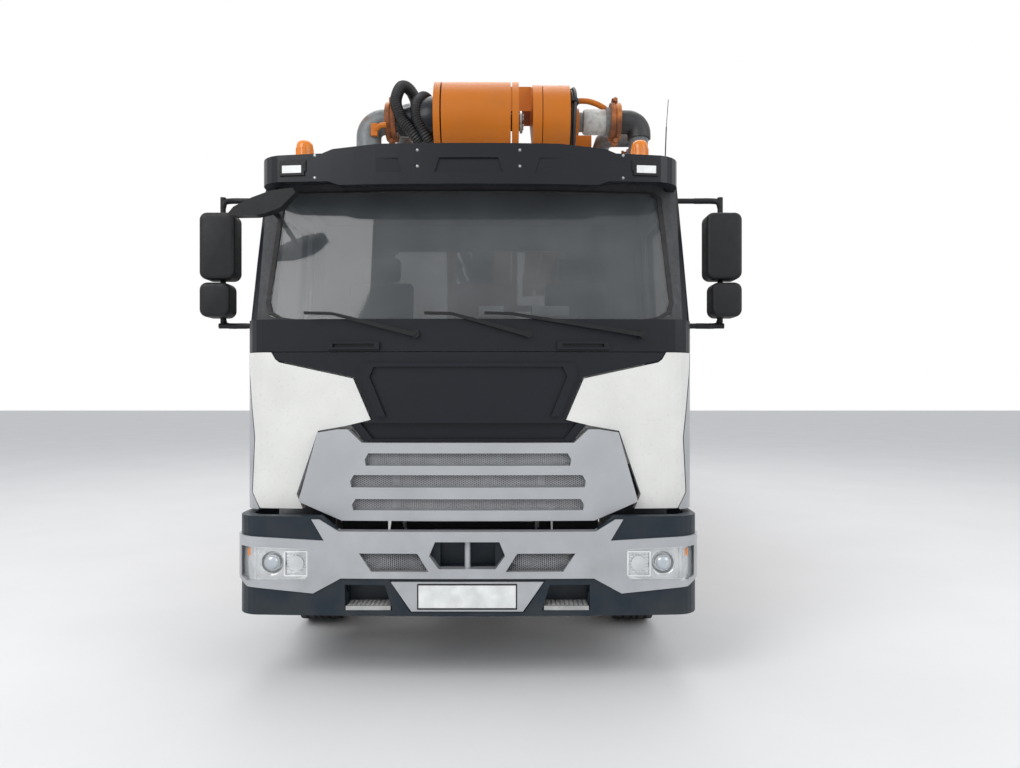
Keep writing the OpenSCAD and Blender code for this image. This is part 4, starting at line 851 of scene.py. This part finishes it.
def cab_fittings():
    for side, word in SIDES:
        body = "door_" + word
        x = side * DOOR_FACE
        blocks("handle_cup_" + word, "black_trim", body,
               [((x - side * 0.012, x + side * 0.004), (at(1.215), at(1.345)), (1.640, 1.700))])
        soft_edges(blocks("handle_grip_" + word, "black_trim", body,
                          [((x, x + side * 0.026), (at(1.205), at(1.352)), (1.672, 1.694))]), 0.006)
        blocks("door_ribs_" + word, "cab_white", body,
               [((x - side * 0.002, x + side * 0.004), (at(0.62), at(1.30)), (z, z + 0.012)) for z in (1.38, 1.50)])
        seal = bmesh.new()
        middle = sum((Vector((0, *p)) for p in DOOR_GLASS), Vector()) / len(DOOR_GLASS)
        _, edges = chain(seal, [(0.001, *p) for p in DOOR_GLASS], closed=True)
        bmesh.ops.subdivide_edges(seal, edges=edges, cuts=5)
        for v in seal.verts:
            v.co = grown(v.co, middle, 1.012, 0.001)
        edges = first = seal.edges[:]
        for share, out in ((1 / 1.012, 0.005), (0.945, 0.003), (1.0, -0.020)):
            edges = pull(seal, edges, lambda co, share=share, out=out: grown(co, middle, share, out))
        bmesh.ops.bridge_loops(seal, edges=first + edges)
        for v in seal.verts:
            out, y, z = v.co
            lean = 0.0 if z < 2.01 else 0.045 * (z - 2.01) / 0.92
            v.co = (side * (1.265 - lean + out), at(y), z)
        mesh_object("door_seal_" + word, seal, "rubber", body)


MIRROR_CORNER = 0.026


def mirror_faces():
    bm = bmesh.new()
    for side in (-1, 1):
        for x0, x1, z0, z1 in ((1.40, 1.575, 2.285, 2.64), (1.43, 1.575, 2.065, 2.23)):
            pane = sheet(bm, 1, lambda t, up: (side * (x0 + (x1 - x0) * t), at(0.4945), z0 + (z1 - z0) * up))
            bmesh.ops.bevel(bm, geom=pane[0].verts[:], offset=MIRROR_CORNER, segments=1, profile=0.5, material=-1,
                            affect="VERTICES")
    give_wall(mesh_object("mirror_faces", bm, "mirror_glass", "chassis"), 0.003)


PAD_EDGE = 0.12   # longer edges get a fine grid


def pad(name, wide, deep, high, place, body, round_by):
    """A padded block with rounded edges and a fine skin."""
    bm = bmesh.new()
    block(bm, wide, deep, high)
    bmesh.ops.bevel(bm, geom=bm.edges[:], offset=round_by, segments=3, profile=0.5, material=-1, affect="EDGES")
    long_edges = [e for e in bm.edges if e.calc_length() > PAD_EDGE]
    bmesh.ops.subdivide_edges(bm, edges=long_edges, cuts=4, use_grid_fill=True)
    bmesh.ops.transform(bm, matrix=place, verts=bm.verts[:])
    mesh_object(name, bm, "seat_cloth", body, 60)


def seat(name, x):
    """Sprung seat: padded cushion, back and head rest on a dark base."""
    base = [(0.20, 0.97, 1.40, CAB_FLOOR, 1.33), (0.17, 1.00, 1.38, 1.33, 1.60), (0.215, 0.95, 1.43, 1.60, 1.645)]
    soft_edges(blocks(name + "_base", "black_trim", "chassis",
                      [((x - half, x + half), (at(y0), at(y1)), (z0, z1)) for half, y0, y1, z0, z1 in base]), 0.012)
    pad(name + "_cushion", (x - 0.235, x + 0.235), (at(0.925), at(1.43)), (1.648, 1.752), Matrix(), "chassis", 0.035)
    for word, half, foot, top, thick in (("back", 0.232, (1.405, 1.758), (1.545, 2.42), 0.115),
                                         ("head", 0.135, (1.552, 2.437), (1.590, 2.61), 0.085)):
        rise = Vector(top) - Vector(foot)
        lean = Matrix.Rotation(-math.atan2(rise.x, rise.y), 4, "X")
        place = Matrix.Translation((x, at(foot[0]), foot[1])) @ lean
        pad("%s_%s" % (name, word), (-half, half), (0, thick), (0, rise.length), place, "chassis", 0.034)


def inside():
    dash = bmesh.new()
    outline = [(0.31, 1.66), (0.31, 1.90), (0.42, 1.925), (0.52, 1.905), (0.565, 1.86), (0.57, 1.74), (0.53, 1.66)]
    thicken(dash, [flat(dash, [(-1.10, at(y), z) for y, z in outline])], (2.20, 0, 0))
    block(dash, (0.50, 0.94), (at(0.40), at(0.575)), (1.86, 1.985))
    block(dash, (-0.22, 0.36), (at(0.50), at(0.62)), (1.50, 1.90))
    block(dash, (-0.42, 0.42), (at(0.56), at(1.64)), (CAB_FLOOR, 1.48))
    block(dash, (-0.90, -0.50), (at(0.40), at(1.0)), (CAB_FLOOR, 1.285))
    block(dash, (0.50, 0.90), (at(0.40), at(1.0)), (CAB_FLOOR, 1.285))
    piece = soft_edges(mesh_object("dash_and_tunnel", dash, "trim_dark", "chassis"), 0.018, 3)
    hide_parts("cab_interior")
    wheel_bm = bmesh.new()
    tilt = Matrix.Translation((0.72, at(0.69), 1.88)) @ Matrix.Rotation(math.radians(-55), 4, "X")
    grip = bmesh.ops.create_circle(wheel_bm, segments=12, radius=0.016)["verts"]
    upright = Matrix.Translation((0.215, 0, 0)) @ Matrix.Rotation(math.radians(90), 4, "X")
    bmesh.ops.transform(wheel_bm, matrix=upright, verts=grip)
    bmesh.ops.spin(wheel_bm, geom=grip + wheel_bm.edges[:], cent=(0, 0, 0), axis=(0, 0, 1), angle=2 * math.pi,
                   steps=64, use_merge=True)
    for a in (90, 210, 330):
        c, s = math.cos(math.radians(a)), math.sin(math.radians(a))
        bar(wheel_bm, (0, 0, -0.01), (0.21 * c, 0.21 * s, 0), 0.014, 8)
    bar(wheel_bm, (0, 0, -0.03), (0, 0, 0.018), 0.062, 24)
    bar(wheel_bm, (0, 0, -0.28), (0, 0, -0.02), 0.034, 16)
    bmesh.ops.transform(wheel_bm, matrix=tilt, verts=wheel_bm.verts[:])
    mesh_object("steering_wheel", wheel_bm, "black_trim", "chassis", 50)
    seat("driver_seat", 0.72)
    seat("mate_seat", -0.72)


cab_fittings()
mirror_faces()
inside()


# Housings, domes and bezels of the front

def rounded(name, x, y, z, mat, body, corner, rim):
    """A moulded shell: corners rounded along y, then its front edge."""
    bm = bmesh.new()
    block(bm, x, y, z)
    along = [e for e in bm.edges if abs((e.verts[0].co - e.verts[1].co).y) > 0.001]
    bmesh.ops.bevel(bm, geom=along, offset=corner, segments=6, profile=0.5, material=-1, affect="EDGES")
    front = [e for e in bm.edges if all(abs(v.co.y - y[0]) < 1e-5 for v in e.verts) and len(e.link_faces) == 2]
    bmesh.ops.bevel(bm, geom=front, offset=rim, segments=4, profile=0.5, material=-1, affect="EDGES")
    return mesh_object(name, bm, mat, body, 50)


DOME = [(0.0515, 3.002), (0.0515, 3.080), (0.0500, 3.100), (0.0465, 3.115), (0.0380, 3.127), (0.0230, 3.134),
        (0, 3.136)]   # radius, height
KERB_MIRROR = [(-1.280, 2.582), (-1.262, 2.606), (-1.168, 2.653), (-1.070, 2.689),
               (-0.972, 2.702), (-1.030, 2.623), (-1.098, 2.592), (-1.150, 2.580)]   # across, height


def housings():
    for side, word in SIDES:
        for part, x0, x1, z0, z1 in (("main", 1.381, 1.590, 2.266, 2.659), ("wide", 1.411, 1.590, 2.046, 2.249)):
            rounded("mirror_%s_%s" % (part, word), (side * x0, side * x1), (at(0.366), at(0.4935)), (z0, z1),
                    "black_trim", "chassis", 0.044, 0.024)
    arms = bmesh.new()
    for side in (-1, 1):
        for z, bend in ((2.755, -1), (2.000, 1)):
            y0, y1 = (at(0.505), at(0.487)) if bend < 0 else (at(0.468), at(0.487))
            path = [(1.34, y0, z), (1.38, y0, z), (1.445, y0, z), (1.479, y1, z + bend * 0.012),
                    (1.4895, y1, z + bend * 0.045)]
            hose(arms, [(side * x, y, z) for x, y, z in path], 0.0175, 14)
    mesh_object("mirror_arm_bends", arms, "black_trim", "chassis", 50)
    glass_bm = bmesh.new()
    flat(glass_bm, [(x, at(0.1325), z) for x, z in KERB_MIRROR])
    give_wall(mesh_object("kerb_mirror_face", glass_bm, "mirror_glass", "chassis"), 0.003)
    domes = bmesh.new()
    for side in (-1, 1):
        revolve(domes, DOME, (side * BEACON[0], BEACON[1], 0), (0, 0, 1), 40)
        for k in range(24):
            a = 2 * math.pi * k / 24
            x, y = side * BEACON[0] + 0.0515 * math.cos(a), BEACON[1] + 0.0515 * math.sin(a)
            bar(domes, (x, y, 3.012), (x, y, 3.084), 0.0022, 6)
    mesh_object("beacon_domes", domes, "amber_lens", "chassis", 40)


# Deck, tanks, turret and pump

def bolt_ring(bm, centre, axis, radius, count, size, high):
    """A circle of hexagon heads."""
    axis = Vector(axis).normalized()
    side = axis.orthogonal().normalized()
    for k in range(count):
        p = Vector(centre) + Matrix.Rotation(2 * math.pi * k / count, 3, axis) @ side * radius
        bar(bm, p, p + axis * high, size, 6)


def pin_cap(bm, centre, axis, radius):
    """End cap of a pin: a disc, a keeper plate and its bolts."""
    c, axis = Vector(centre), Vector(axis).normalized()
    profile = [(radius, -0.004), (radius, 0.010), (radius - 0.006, 0.015), (0.018, 0.015), (0.014, 0.022), (0, 0.022)]
    revolve(bm, profile, c, axis, 36)
    bolt_ring(bm, c + axis * 0.014, axis, radius * 0.62, 4, 0.011, 0.009)


def deck_parts():
    blocks("deck_plates", "deck_plate", "chassis",
           [((side * 0.50, side * 1.215), (at(3.08 + k), at(3.08 + k) + 0.955), (1.3495, 1.3525))
            for side in (-1, 1) for k in range(7)])
    heads = bmesh.new()
    for side in (-1, 1):
        for k in range(7):
            for x in (0.53, 0.86, 1.19):
                for y in (0.04, 0.91):
                    p = Vector((side * x, at(3.08 + k) + y, 1.3522))
                    bar(heads, p, p + Vector((0, 0, 0.004)), 0.009, 8)
    mesh_object("deck_bolts", heads, "steel", "chassis")
    ring = bmesh.new()
    bolt_ring(ring, (0, at(2.55), 1.4395), (0, 0, 1), 0.415, 36, 0.013, 0.015)
    mesh_object("ring_bolts", ring, "steel", "turret")
    flaps, hangers = [], []
    for side in (-1, 1):
        wide = (side * 0.60, side * 1.235)
        flaps.append((wide, (at(8.165), at(8.173)), (0.27, 0.86)))
        for x in (side * (0.655 + k * 0.066) for k in range(9)):
            flaps.append(((x - 0.008, x + 0.008), (at(8.173), at(8.179)), (0.30, 0.80)))
        hangers.append((wide, (at(8.150), at(8.184)), (0.86, 0.90)))
        for x in (0.66, 1.17):
            hangers.append(((side * x, side * (x + 0.03)), (at(8.155), at(8.18)), (0.90, 1.232)))
    blocks("mud_flaps", "rubber", "chassis", flaps)
    blocks("flap_hangers", "chassis_grey", "chassis", hangers)
    drain = bmesh.new()
    for x0, y in ((1.190, 3.56), (-1.190, 3.56), (-1.190, 5.24)):
        s = 1 if x0 > 0 else -1
        bar(drain, (x0 - s * 0.10, at(y), 1.44), (x0 + s * 0.004, at(y), 1.44), 0.022, 12)
        block(drain, (x0 - s * 0.01, x0 + s * 0.004), (at(y - 0.05), at(y + 0.05)), (1.50, 1.54))
    mesh_object("tank_fittings", drain, "steel", "chassis")


def boom_parts():
    caps = bmesh.new()
    for side in (-1, 1):
        pin_cap(caps, (side * 0.303, ROOT.y, ROOT.z), (side, 0, 0), 0.075)
    mesh_object("root_pin_caps", caps, "steel", "turret")
    caps = bmesh.new()
    for side in (-1, 1):
        pin_cap(caps, (side * 0.241, *FIRST_FOLD), (side, 0, 0), 0.082)
    mesh_object("first_fold_pin_caps", caps, "steel", "boom_1")
    lines = bmesh.new()
    for k, z in enumerate((3.455, 3.480)):
        bar(lines, (0.233, at(2.2), z), (0.233, at(9.6), z + 0.02), 0.009, 8)
    for k in range(9):
        y = at(2.5 + 0.86 * k)
        block(lines, (0.219, 0.246), (y - 0.02, y + 0.02), (3.435 + 0.0023 * k, 3.505 + 0.0023 * k))
    mesh_object("boom_oil_lines", lines, "steel", "boom_1")
    beads = bmesh.new()
    for side in (-1, 1):
        for y0, y1, z0, z1 in ((2.9, 9.9, 3.6375, 3.6375), (4.5, 9.9, 3.363, 3.431)):
            bar(beads, (side * 0.2215, at(y0), z0), (side * 0.2215, at(y1), z1), 0.0055, 6)
    mesh_object("boom_weld_beads", beads, "boom_orange", "boom_1")


BEARING = [(0.050, 0.735), (0.105, 0.735), (0.105, 0.760), (0.090, 0.768), (0.045, 0.768)]   # radius, across


def hopper_parts():
    beads = bmesh.new()
    half = 0.758
    rim = [(-half, at(10.165)), (half, at(10.165)), (half, REAR - 0.075), (-half, REAR - 0.075)]
    for k in range(4):
        bar(beads, (*rim[k], 1.476), (*rim[(k + 1) % 4], 1.476), 0.011, 10)
    for x in (-0.50, -0.25, 0.0, 0.25, 0.50):
        bar(beads, (x, REAR - 0.118, 1.10), (x, REAR - 0.092, 1.42), 0.010, 8)
    mesh_object("hopper_beads", beads, "arm_orange", "chassis")
    motor = bmesh.new()
    for side in (-1, 1):
        revolve(motor, BEARING, (0, *AGITATOR), (side, 0, 0), 36)
        bolt_ring(motor, (side * 0.766, *AGITATOR), (side, 0, 0), 0.084, 6, 0.009, 0.010)
    mesh_object("agitator_bearings", motor, "iron", "chassis")
    for name, mat, x0, x1 in (("tail_white_lenses", "white_lens", 0.885, 0.955),
                              ("tail_amber_lenses", "amber_lens", 0.965, 1.035)):
        blocks(name, mat, "chassis",
               [((side * x0, side * x1), (REAR - 0.006, REAR - 0.002), (0.615, 0.705)) for side in (-1, 1)])


FOOT = [(0.056, 0.420), (0.075, 0.392), (0.104, 0.374), (0.140, 0.3715), (0.1505, 0.362),
        (0.1505, 0.336), (0.056, 0.336)]   # radius, height
FEET = [("front_left", 1.01, 5.13), ("front_right", -1.01, 5.13), ("rear_left", 1.01, 10.45),
        ("rear_right", -1.01, 10.45)]   # leg, across, behind the front


def leg_parts():
    for word, x, y in FEET:
        foot = bmesh.new()
        revolve(foot, FOOT, (x, at(y), 0), (0, 0, 1), 48)
        bolt_ring(foot, (x, at(y), 0.372), (0, 0, 1), 0.123, 6, 0.010, 0.009)
        mesh_object("foot_" + word, foot, "steel", "leg_" + word)


housings()
deck_parts()
boom_parts()
hopper_parts()
leg_parts()


# Stage, light and camera

def stage():
    bm = bmesh.new()
    bmesh.ops.create_grid(bm, x_segments=1, y_segments=1, size=60)
    mesh = bpy.data.meshes.new("floor")
    bm.to_mesh(mesh)
    bm.free()
    floor = bpy.data.objects.new("floor", mesh)
    bpy.context.scene.collection.objects.link(floor)
    g = Graph("floor_pale")
    g.set(Base_Color=g.mix(g.ramp(g.noise(0.8), 0.3, 0.7), (0.80, 0.80, 0.80), (0.83, 0.83, 0.83)), Roughness=0.8)
    give(floor, g.mat)

    world = bpy.data.worlds.new("studio")
    bpy.context.scene.world = world
    world.use_nodes = True
    tree = world.node_tree
    tree.nodes.clear()
    out = tree.nodes.new("ShaderNodeOutputWorld")
    soft = tree.nodes.new("ShaderNodeBackground")
    soft.inputs[0].default_value = (0.93, 0.96, 1.0, 1)
    soft.inputs[1].default_value = 0.62
    white = tree.nodes.new("ShaderNodeBackground")
    white.inputs[0].default_value = (1, 1, 1, 1)
    white.inputs[1].default_value = 1.0
    ray = tree.nodes.new("ShaderNodeLightPath")
    pick = tree.nodes.new("ShaderNodeMixShader")
    seen = None
    for word in ("Is Camera Ray", "Is Glossy Ray", "Is Transmission Ray"):
        if seen is None:
            seen = ray.outputs[word]
            continue
        larger = tree.nodes.new("ShaderNodeMath")
        larger.operation = "MAXIMUM"
        tree.links.new(seen, larger.inputs[0])
        tree.links.new(ray.outputs[word], larger.inputs[1])
        seen = larger.outputs[0]
    tree.links.new(seen, pick.inputs[0])
    tree.links.new(soft.outputs[0], pick.inputs[1])
    tree.links.new(white.outputs[0], pick.inputs[2])
    tree.links.new(pick.outputs[0], out.inputs[0])

    for name, place, size, energy in (
        ("key", (-6.5, -13.0, 9.0), 7.0, 640.0),
        ("fill", (8.0, -11.0, 6.0), 7.0, 260.0),
        ("top", (0.0, 0.5, 11.0), 12.0, 560.0),
    ):
        data = bpy.data.lights.new(name, "AREA")
        data.shape = "DISK"
        data.size = size
        data.energy = energy
        lamp = bpy.data.objects.new(name, data)
        bpy.context.scene.collection.objects.link(lamp)
        lamp.location = place
        lamp.rotation_euler = (Vector((0, -3.0, 1.6)) - Vector(place)).to_track_quat("-Z", "Y").to_euler()


def camera():
    """The photograph's view: its centre lies 9 pixels of its 1020 above the lens's axis."""
    data = bpy.data.cameras.new("camera")
    data.sensor_width = 36.0
    data.lens = 27.0
    data.clip_end = 200.0
    data.shift_y = 9.0 / 1020.0
    cam = bpy.data.objects.new("camera", data)
    bpy.context.scene.collection.objects.link(cam)
    cam.location = (0.23, FRONT - 4.10, 1.6)
    cam.rotation_euler = (math.radians(90), 0, 0)
    bpy.context.scene.camera = cam


stage()
camera()

for obj in nodes.values():
    shade(obj, 32)

bpy.context.scene.view_settings.view_transform = "Standard"
